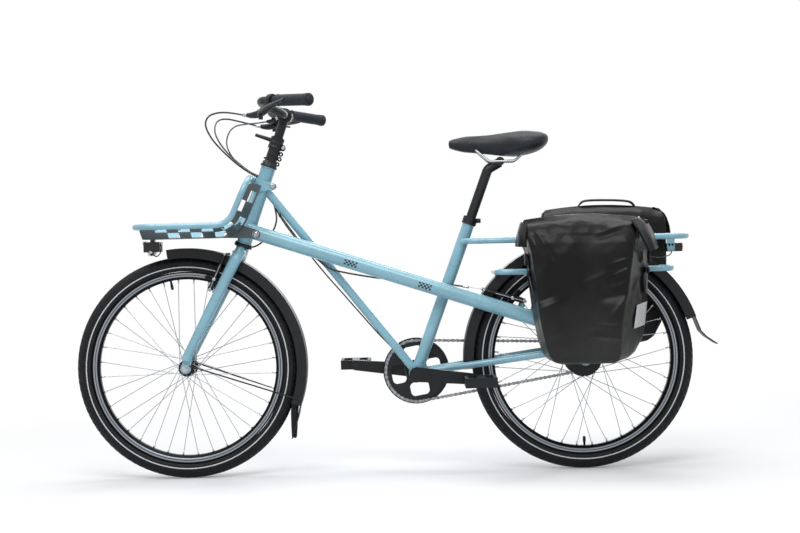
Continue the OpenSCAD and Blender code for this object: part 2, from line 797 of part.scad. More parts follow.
module shifter() {
    color(black) difference() {
        rod(bar_pt(grip_len + 32), bar_pt(grip_len + 54), bar_d + 22);
        rod(bar_pt(grip_len), bar_pt(grip_len + 60), bar_d + 2 * seat_gap);
    }
}

module front_mudguard() {
    color(black) difference() {
        union() {
            guard_arc(0, -20, 98.5);
            guard_flap(0, -19.4, [[0, 0], [-7, -32], [-25, -93]]);
            guard_stay(0, [11, fork_end_y + seat_gap + 2, 8], -17);
        }
    }
}

// ---------- wheels ----------
module at_axle(x) { translate([x, 0, axle_z]) rotate([90, 0, 0]) children(); }

module tyre(x) {
    c = tyre_r - tyre_w / 2;
    color(rubber) at_axle(x) rotate_extrude($fn = fine) difference() {
        translate([c, 0]) circle(d = tyre_w);
        translate([c, 0]) circle(d = tyre_w - 8);
        translate([rim_out_r - 30 + seat_gap, -rim_w / 2 - seat_gap])
            square([30, rim_w + 2 * seat_gap]);
    }
}

module rim(x) {
    color(black) at_axle(x) rotate_extrude($fn = fine) difference() {
        polygon([[rim_in_r, -7], [rim_in_r + 9, -rim_w / 2], [rim_out_r, -rim_w / 2], [rim_out_r, rim_w / 2],
            [rim_in_r + 9, rim_w / 2], [rim_in_r, 7]]);
        translate([rim_in_r + 14, -rim_w / 2 + 2]) square([20, rim_w - 4]);
    }
}

module spokes(x, flange_r, flange_y) {
    n = spoke_count / 2;
    for (side = [-1, 1]) for (i = [0:n - 1]) {
        out = i % 2;
        a = (i + side / 4) * 360 / n;
        b = a + (out ? 1 : -1) * 3 * 360 / n;
        y = side * (flange_y + (out ? 4.2 : -2.8));
        r = flange_r - 3;
        rod([x + r * cos(b), y, axle_z + r * sin(b)],
            [x + (rim_in_r - seat_gap) * cos(a), side * 1.5, axle_z + (rim_in_r - seat_gap) * sin(a)],
            spoke_d, $fn = 16);
    }
}

module front_hub() {
    color(black) at_axle(0) difference() {
        union() {
            cylinder(h = 2 * front_flange_y, r = 15, center = true);
            for (s = [-1, 1]) translate([0, 0, s * front_flange_y])
                cylinder(h = 3, r = front_flange_r, center = true);
            cylinder(h = 88, r = 12, center = true);
        }
        cylinder(h = 120, d = axle_d + 2 * bearing_gap, center = true);
    }
}

module rear_hub() {
    color(black) at_axle(wheelbase) difference() {
        union() {
            cylinder(h = 2 * rear_flange_y, r = rear_flange_r - 5, center = true);
            for (s = [-1, 1]) translate([0, 0, s * rear_flange_y])
                cylinder(h = 3, r = rear_flange_r, center = true);
            cylinder(h = 76, r = 26, center = true);
            translate([0, 0, -56]) cylinder(h = 112, r = 14);
        }
        cylinder(h = 150, d = axle_d + 2 * bearing_gap, center = true);
    }
}

// Axle whose nuts seat on the outer faces of the fork ends or dropouts
module axle(x, face) {
    nut_low = face + seat_gap;
    color(steel) at_axle(x) {
        cylinder(h = 2 * (nut_low + nut_h + axle_end), d = axle_d, center = true);
        for (s = [0, 1]) mirror([0, 0, s]) translate([0, 0, nut_low]) {
            cylinder(h = 2, r = nut_r + 1.5);
            cylinder(h = nut_h, r = nut_r, $fn = 6);
        }
    }
}

// ---------- drive ----------
// Outline of a toothed wheel
function teeth(n, r) = [for (i = [0:n - 1]) each [for (q = [[-0.5, -3.6], [-0.24, -2.6], [-0.1, 2.4],
    [0.1, 2.4], [0.24, -2.6]]) let (a = (i + q[0]) * 360 / n) (r + q[1]) * [cos(a), sin(a)]]];

module ring_windows() {
    for (a = [10, 100, 190, 280]) rotate(a) translate([50, 0])
        offset(r = 12) square([14, 28], center = true);
}

module chainring() {
    color(black) {
        translate([bb_x, chain_y + 1.2, bb_z]) rotate([90, 0, 0]) linear_extrude(2.4) difference() {
            polygon(teeth(ring_teeth, ring_r));
            circle(r = 26);
            ring_windows();
        }
        translate([bb_x, guard_y + 2, bb_z]) rotate([90, 0, 0]) linear_extrude(2) difference() {
            circle(r = ring_guard_r, $fn = fine);
            circle(r = 26);
            ring_windows();
        }
        for (a = [55, 145, 235, 325]) translate([bb_x + 64 * cos(a), 0, bb_z + 64 * sin(a)])
            translate([0, guard_y + 1, 0]) rotate([90, 0, 0]) cylinder(h = guard_y - chain_y, d = 10);
    }
}

ring_guard_r = 92;
guard_y = chain_y + 6.5;
arm_in = 63;
arm_t = 14;
module crank_arm(side, ang) {
    eye = [bb_x + crank_len * cos(ang), side * (arm_in + arm_t / 2), bb_z + crank_len * sin(ang)];
    translate([0, side * (arm_in + arm_t / 2), 0]) rotate([90, 0, 0])
        translate([0, 0, -arm_t / 2]) linear_extrude(arm_t) difference() {
            hull() {
                translate([bb.x, bb.z]) circle(r = 20);
                translate([eye.x, eye.z]) circle(r = 14);
            }
            translate([eye.x, eye.z]) circle(d = 14 + 2 * bearing_gap);
        }
}

module cranks() {
    color(black) {
        crank_arm(1, 180 - crank_tilt);
        crank_arm(-1, -crank_tilt);
        translate([bb_x, 0, bb_z]) rotate([90, 0, 0]) {
            cylinder(h = 2 * arm_in + 4, d = spindle_d, center = true);
            translate([0, 0, -arm_in]) cylinder(h = arm_in - shell_w / 2 - 1, r = 25.7);
        }
    }
}

module pedal(side, ang) {
    c = [bb_x + crank_len * cos(ang), side * (arm_in + arm_t), bb_z + crank_len * sin(ang)];
    y = side * (arm_in + arm_t + 5 + pedal_w / 2);
    color(black) {
        rod(c - [0, side * arm_t, 0], [c.x, y + side * (pedal_w / 2 - 8), c.z], 14);
        translate([c.x, y, c.z]) difference() {
            cube([pedal_len, pedal_w, 26], center = true);
            for (k = [-1, 1]) translate([k * 22, 0, 0]) cube([22, pedal_w - 16, 40], center = true);
        }
    }
}

module right_pedal() { pedal(1, 180 - crank_tilt); }

module left_pedal() { pedal(-1, -crank_tilt); }

module sprocket() {
    color(steel) translate([wheelbase, chain_y + 1.2, axle_z]) rotate([90, 0, 0]) linear_extrude(2.4)
        difference() {
            polygon(teeth(cog_teeth, cog_r));
            circle(r = 14 + bearing_gap);
        }
}

// Loop of the chain round both toothed wheels
gap_v = [wheelbase - bb_x, axle_z - bb_z];
gap_a = atan2(gap_v.y, gap_v.x);
wrap_a = acos((ring_r - cog_r) / norm(gap_v));
run_len = sqrt(norm(gap_v) * norm(gap_v) - (ring_r - cog_r) * (ring_r - cog_r));
cog_arc = cog_r * 2 * wrap_a * PI / 180;
ring_arc = ring_r * (360 - 2 * wrap_a) * PI / 180;
loop_len = 2 * run_len + cog_arc + ring_arc;
links = 2 * round(loop_len / pitch / 2);
// Runs beside each toothed wheel where its teeth fill the space between the side plates
ring_clear = 36;
cog_clear = 24;
function polar(c, r, a) = c + r * [cos(a), sin(a)];
ring_c = [bb_x, bb_z];
cog_c = [wheelbase, axle_z];
// Point of the loop at run s, moved outwards by h
function loop_pt(s, h) =
    s < run_len ? mix(polar(ring_c, ring_r + h, gap_a + wrap_a), polar(cog_c, cog_r + h, gap_a + wrap_a), s / run_len)
    : s < run_len + cog_arc ? polar(cog_c, cog_r + h, gap_a + wrap_a - (s - run_len) / cog_r * 180 / PI)
    : s < 2 * run_len + cog_arc ? mix(polar(cog_c, cog_r + h, gap_a - wrap_a),
        polar(ring_c, ring_r + h, gap_a - wrap_a), (s - run_len - cog_arc) / run_len)
    : polar(ring_c, ring_r + h, gap_a - wrap_a - (s - 2 * run_len - cog_arc) / ring_r * 180 / PI);
function loop_side(dir) = [for (i = [0:links - 1]) each [for (q = [[0.14, 4.2], [0.36, 2.9], [0.64, 2.9], [0.86, 4.2]])
    loop_pt((i + q[0]) * loop_len / links, dir * q[1])]];

module chain() {
    outer = loop_side(1);
    inner = loop_side(-1);
    n = len(outer);
    color(steel) {
        for (y = [chain_y - 2.3, chain_y + 3.4]) translate([0, y, 0]) rotate([90, 0, 0]) linear_extrude(1.1)
            polygon(concat(outer, inner), [[for (i = [0:n - 1]) i], [for (i = [0:n - 1]) n + i]]);
        for (i = [0:links - 1]) {
            s = i * loop_len / links;
            if ((s > ring_clear && s < run_len - cog_clear)
                || (s > run_len + cog_arc + cog_clear && s < 2 * run_len + cog_arc - ring_clear))
                translate([loop_pt(s, 0).x, chain_y, loop_pt(s, 0).y]) rotate([90, 0, 0])
                    cylinder(h = 4.7, d = 5, center = true, $fn = 16);
        }
    }
}

in_bike() head_tube();
in_bike() main_tubes();
in_bike() diagonal_tube();
in_bike() seat_tube();
in_bike() bottom_bracket();
in_bike() chainstays();
in_bike() rack_stays();
in_bike() rear_rack();
in_bike() pannier_rails();
in_bike() seat_collar();
in_bike() seatpost();
in_bike() saddle_rails();
in_bike() saddle();
in_bike() rear_mudguard();
in_bike() tail_lamp();
in_bike() front_rack();
in_bike() front_tray();
in_bike() front_lamp();
in_bike() rear_brake();
in_bike() chain();
in_bike() axle(wheelbase, dropout_y + dropout_t);  // rear_axle
in_bike() left_pannier();
in_bike() right_pannier();
in_bike() fork();
in_bike() stem();
in_bike() handlebar();
in_bike() grips();
in_bike() brake_levers();
in_bike() shifter();
in_bike() front_mudguard();
in_bike() front_brake();
in_bike() axle(0, fork_end_y);  // front_axle
in_bike() tyre(0);  // front_tyre
in_bike() rim(0);  // front_rim
in_bike() front_hub();
in_bike() color(steel) spokes(0, front_flange_r, front_flange_y);  // front_spokes
in_bike() tyre(wheelbase);  // rear_tyre
in_bike() rim(wheelbase);  // rear_rim
in_bike() rear_hub();
in_bike() color(steel) spokes(wheelbase, rear_flange_r, rear_flange_y);  // rear_spokes
in_bike() chainring();
in_bike() cranks();
in_bike() left_pedal();
in_bike() right_pedal();
in_bike() sprocket();
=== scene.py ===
"""Utility bicycle: finishes, tyres, cables, controls, saddle pad, roll-top bags and small trim on the CAD frame.

Lengths are millimetres on the bicycle: X behind the front axle, Y to the rider's right, Z above the ground.
"""

import math

import bpy
import numpy as np
from mathutils import Matrix, Vector


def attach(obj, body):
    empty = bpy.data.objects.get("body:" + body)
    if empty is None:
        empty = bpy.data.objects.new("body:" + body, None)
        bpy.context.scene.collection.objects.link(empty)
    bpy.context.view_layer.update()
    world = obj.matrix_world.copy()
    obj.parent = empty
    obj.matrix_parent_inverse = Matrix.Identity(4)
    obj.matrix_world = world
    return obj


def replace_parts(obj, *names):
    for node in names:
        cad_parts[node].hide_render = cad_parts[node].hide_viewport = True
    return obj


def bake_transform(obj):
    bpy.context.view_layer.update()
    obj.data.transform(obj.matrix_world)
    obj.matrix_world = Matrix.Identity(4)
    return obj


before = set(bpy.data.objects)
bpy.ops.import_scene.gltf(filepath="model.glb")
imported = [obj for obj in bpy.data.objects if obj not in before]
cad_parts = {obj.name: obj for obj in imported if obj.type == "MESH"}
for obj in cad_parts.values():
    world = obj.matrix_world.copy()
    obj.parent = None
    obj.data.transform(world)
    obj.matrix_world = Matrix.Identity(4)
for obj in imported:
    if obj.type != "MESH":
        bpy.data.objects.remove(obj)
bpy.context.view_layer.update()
scene = bpy.context.scene
scene.view_settings.view_transform = "Standard"

SIT_POINT = np.array([930.0, 0.0, 927.0])
TYRE_R = 303.5
TYRE_D = 50.0
RIM_BED_R = 243.0
BRAKE_TRACK_R = 252.5
SPOKES_A_SIDE = 18
WHEELBASE = 1082.0
FRONT_AXLE = np.array([0.0, 0.0, TYRE_R])
REAR_AXLE = np.array([WHEELBASE, 0.0, TYRE_R])
RAIL_Y = 80.4
RAIL_D = 16.0
HEAD_TILT = math.radians(19.5)
HEAD_AXIS = np.array([math.sin(HEAD_TILT), 0, math.cos(HEAD_TILT)])
FORK_OFFSET = 40.0


# ---------- places and meshes ----------

def to_row(points):
    """Bicycle millimetres to row metres: shift by the sitting point, then divide by 1000."""
    return (np.asarray(points, float) - SIT_POINT) / 1000.0


def unit(v):
    """A vector, or each row of an array of them, divided by its length."""
    v = np.asarray(v, float)
    return v / np.linalg.norm(v, axis=-1, keepdims=True)


def grid_quads(rows, columns, wrap_rows=False, wrap_columns=True):
    """Quads between neighbours of a rows x columns grid of points numbered row by row."""
    r = np.arange(rows if wrap_rows else rows - 1)[:, None]
    c = np.arange(columns if wrap_columns else columns - 1)[None, :]
    r2, c2 = (r + 1) % rows, (c + 1) % columns
    corners = np.broadcast_arrays(r * columns + c, r * columns + c2, r2 * columns + c2, r2 * columns + c)
    return np.stack(corners, -1).reshape(-1, 4)


def make_piece(name, shape, material, body=None, smooth=True):
    """Puts a shape, which is (points, faces) or a list of such pairs, in a new mesh and lets it ride on a body."""
    points, faces = merged(shape) if isinstance(shape, list) else shape
    mesh = bpy.data.meshes.new(name)
    mesh.from_pydata(to_row(points).tolist(), [], [list(f) for f in faces])
    mesh.polygons.foreach_set("use_smooth", [smooth] * len(mesh.polygons))
    mesh.update()
    mesh.materials.append(material)
    piece = bpy.data.objects.new(name, mesh)
    scene.collection.objects.link(piece)
    if body:
        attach(piece, body)
    return piece


def lofted(rings, wrap_rows=False):
    """A closed skin over rings of points: quads between neighbouring rings and a flat face on each end ring. Where
    the signed volume, the sum of a . (b x c) over its triangles, is below zero, every face is turned round."""
    rings = np.asarray(rings, float)
    rows, columns = rings.shape[:2]
    points = rings.reshape(-1, 3)
    quads = grid_quads(rows, columns, wrap_rows)
    faces, triangles = quads.tolist(), [quads[:, [0, 1, 2]], quads[:, [0, 2, 3]]]
    if not wrap_rows:
        for end in (np.arange(columns)[::-1], np.arange((rows - 1) * columns, rows * columns)):
            faces.append(end.tolist())
            triangles.append(np.stack([np.full(columns - 2, end[0]), end[1:-1], end[2:]], -1))
    a, b, c = np.moveaxis((points - points.mean(0))[np.concatenate(triangles)], 1, 0)
    if (a * np.cross(b, c)).sum() < 0:
        faces = [face[::-1] for face in faces]
    return points, faces


def merged(parts):
    """Several (points, faces) pairs as one pair, with the face numbers moved on."""
    points, faces, start = [], [], 0
    for p, f in parts:
        points.append(p)
        faces += [[start + i for i in face] for face in f]
        start += len(p)
    return np.concatenate(points), faces


def across(directions):
    """Two unit vectors square to each direction, from its cross product with the axis that it leans on least."""
    d = unit(directions)
    spare = np.eye(3)[np.argmin(np.abs(d).sum(0))]
    first = unit(np.cross(d, spare))
    return first, np.cross(d, first)


def smooth_path(corners, per_span=8):
    """Catmull-Rom curve: on each span, half the cubic 2b + (c-a)t + (2a-5b+4c-d)t^2 + (3b-a-3c+d)t^3."""
    p = np.asarray(corners, float)
    p = np.concatenate([[2 * p[0] - p[1]], p, [2 * p[-1] - p[-2]]])
    a, b, c, d = (p[i:len(p) - 3 + i, None, :] for i in range(4))
    t = np.linspace(0, 1, per_span, endpoint=False)[None, :, None]
    spans = 0.5 * (2 * b + (c - a) * t + (2 * a - 5 * b + 4 * c - d) * t**2 + (3 * b - a - 3 * c + d) * t**3)
    return np.concatenate([spans.reshape(-1, 3), p[-2:-1]])


def smoothed(values, kernel, axis=0, loop=False):
    """Running weighted mean along an axis, wrapped round a loop or holding the end rows."""
    kernel = np.asarray(kernel, float) / np.sum(kernel)
    half = len(kernel) // 2
    pad = [(half, half) if k == axis else (0, 0) for k in range(values.ndim)]
    wide = np.pad(values, pad, mode="wrap" if loop else "edge")
    steps = np.arange(values.shape[axis])
    return sum(weight * np.take(wide, steps + k, axis=axis) for k, weight in enumerate(kernel))


def circle(sides):
    """Cosines and sines of even steps round a circle, laid out to multiply rows of points."""
    u = np.linspace(0, 2 * np.pi, sides, endpoint=False)[None, :, None]
    return np.cos(u), np.sin(u)


def tube(path, radius, sides=12):
    """Rings of radius r(s) round a path: centre + r (cos u * first + sin u * second), closed at both ends."""
    path = np.asarray(path, float)
    first, second = across(np.gradient(path, axis=0))
    cos, sin = circle(sides)
    r = np.broadcast_to(np.asarray(radius, float), (len(path),))[:, None, None]
    return lofted(path[:, None] + r * (cos * first[:, None] + sin * second[:, None]))


def turned(origin, axis, profile, sides=32):
    """Surface of revolution: each (distance along axis, radius) of the profile is carried round the axis."""
    profile = np.asarray(profile, float)
    first, second = across(np.asarray([axis], float))
    cos, sin = circle(sides)
    spokes = cos * first[:, None] + sin * second[:, None]
    rings = np.asarray(origin) + profile[:, None, :1] * unit(axis) + profile[:, None, 1:] * spokes
    return lofted(rings)


def pillow(centre, half, roundness=4.0, steps=12):
    """Rounded block: where the ray at each latitude and longitude meets |x|^n + |y|^n + |z|^n = 1, scaled to half
    sizes."""
    lat = np.linspace(-np.pi / 2, np.pi / 2, steps + 1)[1:-1, None]
    lon = np.linspace(0, 2 * np.pi, 2 * steps, endpoint=False)[None, :]
    ray = np.stack(np.broadcast_arrays(np.cos(lat) * np.cos(lon), np.cos(lat) * np.sin(lon), np.sin(lat)), -1)
    ray = ray / (np.abs(ray) ** roundness).sum(-1, keepdims=True) ** (1 / roundness)
    return lofted(np.asarray(centre) + ray * np.asarray(half))


def flat_tube(path, half_width, half_thickness, flat=(0, 0, 1), sides=16):
    """Elliptic rings along a path: centre + w cos u * side + t sin u * normal, where the normal is the flat direction
    made square to the path and the side is square to both."""
    path = np.asarray(path, float)
    ahead = unit(np.gradient(path, axis=0))
    normal = unit(np.asarray(flat, float) - (ahead @ np.asarray(flat, float))[:, None] * ahead)
    side = np.cross(ahead, normal)
    cos, sin = circle(sides)
    w, t = (np.broadcast_to(np.asarray(v, float), (len(path),))[:, None, None] for v in (half_width, half_thickness))
    return lofted(path[:, None] + w * cos * side[:, None] + t * sin * normal[:, None])


def plate(outline, y0, y1):
    """Flat prism: an outline in X and Z carried from y0 to y1."""
    outline = np.asarray(outline, float)
    return lofted([np.insert(outline, 1, y, axis=1) for y in (y0, y1)])


def ring(centre, axis, major, minor, turns=24, sides=10):
    """Torus: a circle of radius minor carried round the axis at radius major."""
    first, second = across(np.asarray([axis], float))
    a = np.linspace(0, 2 * np.pi, turns, endpoint=False)[:, None, None]
    cos, sin = circle(sides)
    out = np.cos(a) * first + np.sin(a) * second
    rings = np.asarray(centre) + (major + minor * cos) * out + minor * sin * unit(axis)
    return lofted(rings, wrap_rows=True)


def both_sides(*parts):
    """Parts and their mirror images across the bicycle's middle plane, with faces turned to keep pointing outwards."""
    points, faces = merged(parts)
    return merged([(points, faces), (points * np.array([1, -1, 1]), [face[::-1] for face in faces])])


def bolt(centre, axis, head_r, height):
    """Button head: a low dome with a round recess sunk in its middle, as shares of its height and radius."""
    shares = np.array([[0, 1], [0.4, 1], [0.85, 0.8], [1, 0.55], [1, 0.42], [0.35, 0.38], [0.35, 0.05 / head_r]])
    return turned(centre, axis, shares * [height, head_r], 24)


def bevelled(piece, width_mm):
    """Rounds a sharp-edged piece with a bevel of two segments."""
    edge = piece.modifiers.new("edges", "BEVEL")
    edge.width, edge.segments = width_mm / 1000, 2


def aside(y):
    """Step of y towards the rider's right."""
    return np.array([0.0, y, 0.0])


def head_pt(s, forward=0.0, y=0.0):
    """Point on the steering axis, s above its foot, moved square to it: ahead is positive. The foot is where the
    fork's offset from the front axle meets the axis."""
    ahead = np.array([-HEAD_AXIS[2], 0, HEAD_AXIS[0]])
    return FRONT_AXLE - FORK_OFFSET * ahead + s * HEAD_AXIS + forward * ahead + aside(y)


# ---------- materials ----------

def linear(code):
    """sRGB hex to linear: c/12.92 up to 0.04045, else ((c + 0.055) / 1.055)^2.4."""
    c = np.array([int(code[i:i + 2], 16) / 255 for i in (1, 3, 5)])
    c = np.where(c <= 0.04045, c / 12.92, ((c + 0.055) / 1.055) ** 2.4)
    return (*c.tolist(), 1.0)


def add(tree, kind, inputs=None, **settings):
    """Adds a node with its settings. An input is a plain value or another node's output socket."""
    node = tree.nodes.new(kind)
    for name, value in settings.items():
        setattr(node, name, value)
    for key, value in (inputs or {}).items():
        if isinstance(value, bpy.types.NodeSocket):
            tree.links.new(value, node.inputs[key])
        else:
            node.inputs[key].default_value = value
    return node


class Finish:
    """A material of one Principled shader on Object coordinates, with helpers for its patterns."""

    def __init__(self, name, **constants):
        self.material = bpy.data.materials.new(name)
        self.material.use_nodes = True
        self.tree = self.material.node_tree
        self.tree.nodes.clear()
        values = {key.replace("_", " ").title().replace("Ior", "IOR"): value for key, value in constants.items()}
        self.shader = add(self.tree, "ShaderNodeBsdfPrincipled", values)
        self.output = add(self.tree, "ShaderNodeOutputMaterial", {"Surface": self.shader.outputs[0]})
        self.place = add(self.tree, "ShaderNodeTexCoord").outputs["Object"]

    def noise(self, size_mm, detail=3.0):
        """Noise whose blotches are about size_mm across."""
        return add(self.tree, "ShaderNodeTexNoise", {"Vector": self.place, "Scale": 1000 / size_mm,
                                                     "Detail": detail}).outputs[0]

    def spread(self, value, low, high, to_low, to_high, smooth=False):
        """Carries a pattern from low..high to to_low..to_high."""
        return add(self.tree, "ShaderNodeMapRange", {0: value, 1: low, 2: high, 3: to_low, 4: to_high},
                   interpolation_type="SMOOTHSTEP" if smooth else "LINEAR").outputs[0]

    def math(self, operation, a, b):
        """One step of arithmetic on patterns or numbers."""
        return add(self.tree, "ShaderNodeMath", {0: a, 1: b}, operation=operation).outputs[0]

    def band(self, value, start, end, edge):
        """1 between start and end, and 0 outside, with soft edges that lie inside."""
        return self.math("MULTIPLY", self.spread(value, start, start + edge, 0, 1),
                         self.spread(value, end - edge, end, 1, 0))

    def colour_by(self, value, first, second):
        """Mixes two colours by a pattern from 0 to 1."""
        mixed = add(self.tree, "ShaderNodeMix", {0: value, 6: linear(first), 7: linear(second)}, data_type="RGBA")
        self.tree.links.new(mixed.outputs[2], self.shader.inputs["Base Color"])

    def roughness_by(self, value):
        """Takes the roughness from a pattern."""
        self.tree.links.new(value, self.shader.inputs["Roughness"])

    def tones(self, size_mm, first, second):
        """Blotches of two near colours."""
        self.colour_by(self.spread(self.noise(size_mm), 0.35, 0.65, 0, 1), first, second)

    def gloss(self, size_mm, low, high, detail=3.0):
        """Blotches of two near roughnesses."""
        self.roughness_by(self.spread(self.noise(size_mm, detail), 0.3, 0.7, low, high))

    def bump(self, height, depth_mm, strength=1.0):
        """Bump of a pattern from 0 to 1 that stands depth_mm high. A second call lies on top of the first."""
        links = {"Height": height, "Distance": depth_mm / 1000, "Strength": strength}
        socket = self.shader.inputs["Normal"]
        if socket.is_linked:
            links["Normal"] = socket.links[0].from_socket
        self.tree.links.new(add(self.tree, "ShaderNodeBump", links).outputs[0], socket)

    def threads(self, spacing_mm, axes):
        """Rounded ridges that repeat every spacing_mm along each of the axes."""
        scale = 2 * math.pi * 1000 / spacing_mm / 20
        waves = [add(self.tree, "ShaderNodeTexWave", {"Vector": self.place, "Scale": scale}, wave_type="BANDS",
                     bands_direction=axis, wave_profile="SIN").outputs["Fac"] for axis in axes]
        return waves[0] if len(waves) == 1 else self.math("MAXIMUM", *waves)

    def radius_from(self, centre):
        """Distance in metres from the line along Y through a point given in bicycle millimetres."""
        shift = to_row(centre)
        mapped = add(self.tree, "ShaderNodeMapping", {"Vector": self.place, "Location": (-shift[0], 0, -shift[2]),
                                                      "Scale": (1, 0, 1)}).outputs[0]
        return add(self.tree, "ShaderNodeVectorMath", {0: mapped}, operation="LENGTH").outputs["Value"]


def mottled(name, tones, gloss, grain=None, **constants):
    """A material of plain noise patterns. Tones are one colour, or (blotch in mm, colour, colour). Gloss is (blotch,
    roughness, roughness). Grain is (blotch, detail, height in mm)."""
    f = Finish(name, **constants)
    if isinstance(tones, str):
        f.shader.inputs["Base Color"].default_value = linear(tones)
    else:
        f.tones(*tones)
    f.gloss(*gloss)
    if grain:
        size_mm, detail, depth_mm = grain
        f.bump(f.noise(size_mm, detail), depth_mm)
    return f.material


def tray_coat_with_painted_shade():
    """Powder-coated tray sheet with painted shade: the inner faces as the tubes, and the faces that point
    outwards or down painted dark slate.
    """
    f = Finish("powder_coat_with_painted_shade", coat_weight=0.2, coat_roughness=0.2)
    normal = add(f.tree, "ShaderNodeSeparateXYZ", {0: add(f.tree, "ShaderNodeNewGeometry").outputs["Normal"]}).outputs
    place = add(f.tree, "ShaderNodeSeparateXYZ", {0: f.place}).outputs
    # painted shade: faces that point outwards or down are coloured dark slate, the inner faces as the tubes
    outward = f.math("MULTIPLY", f.math("SIGN", place["Y"], 0.0), normal["Y"])
    below = f.math("MULTIPLY", normal["Z"], -1.0)
    f.colour_by(f.spread(f.math("MAXIMUM", outward, below), 0.1, 0.2, 0, 1), "#83b2c2", "#39474b")
    f.gloss(9, 0.3, 0.4)
    f.bump(f.noise(3.5, 1.0), 0.02)
    return f.material


def rim_material(name, axle):
    """Anodised rim with machined braking tracks: bare turned metal between two radii, with a dark wear line in its
    middle, and black elsewhere."""
    f = Finish(name, metallic=0.8)
    r = f.radius_from(axle)
    track = f.math("SUBTRACT", f.band(r, 0.2485, 0.2595, 0.0007), f.band(r, 0.2528, 0.2552, 0.0005))
    f.colour_by(track, "#0d0e10", "#8f959c")
    f.gloss(2.5, 0.27, 0.42, 2.0)
    turning_pitch = 0.0011
    rings = f.math("SINE", f.math("MULTIPLY", r, 2 * math.pi / turning_pitch), 0.0)
    f.bump(f.math("MULTIPLY", rings, track), 0.02)
    return f.material


def coated_tarpaulin():
    """PVC-coated tarpaulin: a smooth black skin over a scrim whose threads show faintly. It crumples in stiff
    facets, and a painted reflection greys its lower half. The scrim is 1 mm cloth, drawn at 3 mm so that it shows."""
    f = Finish("pvc_coated_tarpaulin", ior=1.5, specular_ior_level=0.18)
    height = add(f.tree, "ShaderNodeSeparateXYZ", {0: f.place}).outputs["Z"]
    # painted reflection: the colour greys towards the bottom of the bag, over random blotches of tone
    painted_reflection_low = f.spread(height, -0.42, -0.62, 0, 0.75, smooth=True)
    reflection_and_blotches = f.math("ADD", painted_reflection_low, f.spread(f.noise(110), 0.35, 0.7, -0.15, 0.3))
    f.colour_by(f.spread(reflection_and_blotches, 0, 1, 0, 1), "#080809", "#2e2e2e")
    f.roughness_by(f.spread(reflection_and_blotches, 0, 1, 0.3, 0.5))
    facets = add(f.tree, "ShaderNodeTexVoronoi", {"Vector": f.place, "Scale": 1000 / 85, "Smoothness": 0.25,
                                                  "Detail": 1.0}, feature="SMOOTH_F1").outputs["Distance"]
    f.bump(facets, 9.0, 0.5)
    f.bump(f.noise(38, 2.0), 2.2, 0.5)
    f.bump(f.threads(3.0, "XZ"), 0.02)
    return f.material


def synthetic_leather():
    """Coated microfibre saddle cover: blue-black with a fine pebble grain and a soft sheen."""
    f = Finish("coated_microfibre", ior=1.5, sheen_weight=0.06, specular_ior_level=0.3)
    f.tones(30, "#0f1319", "#171c25")
    f.gloss(6, 0.38, 0.52)
    grain = add(f.tree, "ShaderNodeTexVoronoi", {"Vector": f.place, "Scale": 1000 / 1.6}).outputs["Distance"]
    f.bump(grain, 0.12, 0.8)
    return f.material


def ribbed(name, tones, ridges, depth_mm, **constants):
    """A moulded or woven material: blotches of two colours under ridges, given as (spacing in mm, axes)."""
    f = Finish(name, **constants)
    f.tones(*tones)
    f.bump(f.threads(*ridges), depth_mm)
    return f.material


# Gloss powder coat on steel tube: an even skin with a faint orange peel, so highlights are soft-edged
coat_blue = mottled("powder_coated_steel", (60, "#78a5b5", "#80b0c0"), (9, 0.24, 0.34), (3.5, 1.0, 0.01),
                    coat_weight=0.45, coat_roughness=0.12)
tray_coat = tray_coat_with_painted_shade()
# Screen-printed ink on the tube: flat black with a slightly uneven film
ink = mottled("screen_printed_ink", (8, "#121417", "#1c1e22"), (5, 0.34, 0.5))
# Satin black powder coat on alloy tube: dark with a broad soft highlight and a fine grain
coat_black = mottled("satin_black_powder_coat", (25, "#121418", "#191c21"), (6, 0.29, 0.4), (1.2, 2.0, 0.015),
                     specular_ior_level=0.3)
# Forged and anodised aluminium: dark metal whose polish lines catch the light
anodised = mottled("black_anodised_aluminium", "#1b1d20", (5, 0.3, 0.44), (0.8, 2.0, 0.01), metallic=0.6)
# Injection-moulded polypropylene: near black, low gloss with a fine spark-eroded grain
polypropylene = mottled("moulded_polypropylene", (40, "#111316", "#181a1e"), (4, 0.4, 0.55), (0.9, 2.0, 0.02),
                        ior=1.49, specular_ior_level=0.3)
# Glossy moulded ABS housing: black with sharp highlights and faint flow marks
lamp_abs = mottled("gloss_moulded_abs", "#0f1012", (12, 0.16, 0.26), (5, 1.0, 0.01), ior=1.53, specular_ior_level=0.4)
# Zinc-plated steel hardware: cool grey metal with slightly cloudy plating
zinc = mottled("zinc_plated_steel", (7, "#a6a9ad", "#c0c3c5"), (3, 0.24, 0.38), (0.8, 3.0, 0.01), metallic=1.0)
# Drawn stainless wire: bright, with fine lines along the draw
stainless = mottled("drawn_stainless_wire", "#a3a7ab", (2, 0.2, 0.34), (0.6, 3.0, 0.006), metallic=1.0)
# Oiled chain plates: grey steel with a darker film where oil and dust collect
chain_steel = mottled("oiled_chain_steel", (8, "#6d6f72", "#a2a5a8"), (3, 0.28, 0.5), (1.0, 3.0, 0.01), metallic=0.95)
# Vulcanised rubber: black with a grey bloom, matt, with a fine mould grain
rubber = mottled("vulcanised_rubber", (18, "#0f1013", "#17181c"), (5, 0.55, 0.72), (1.1, 2.0, 0.03),
                 ior=1.52, specular_ior_level=0.2)
# Retroreflective film: pale grey glass beads, slightly glossy
bead_film = mottled("retroreflective_bead_film", (4, "#bdbfc2", "#d2d4d6"), (2, 0.28, 0.42), (0.7, 3.0, 0.01), ior=1.5)
# Soft kraton grip rubber: blue-black and matt, with a fine stipple
kraton = mottled("kraton_grip_rubber", (14, "#1a1e25", "#232831"), (4, 0.5, 0.66), (1.4, 1.0, 0.06),
                 ior=1.5, specular_ior_level=0.25)
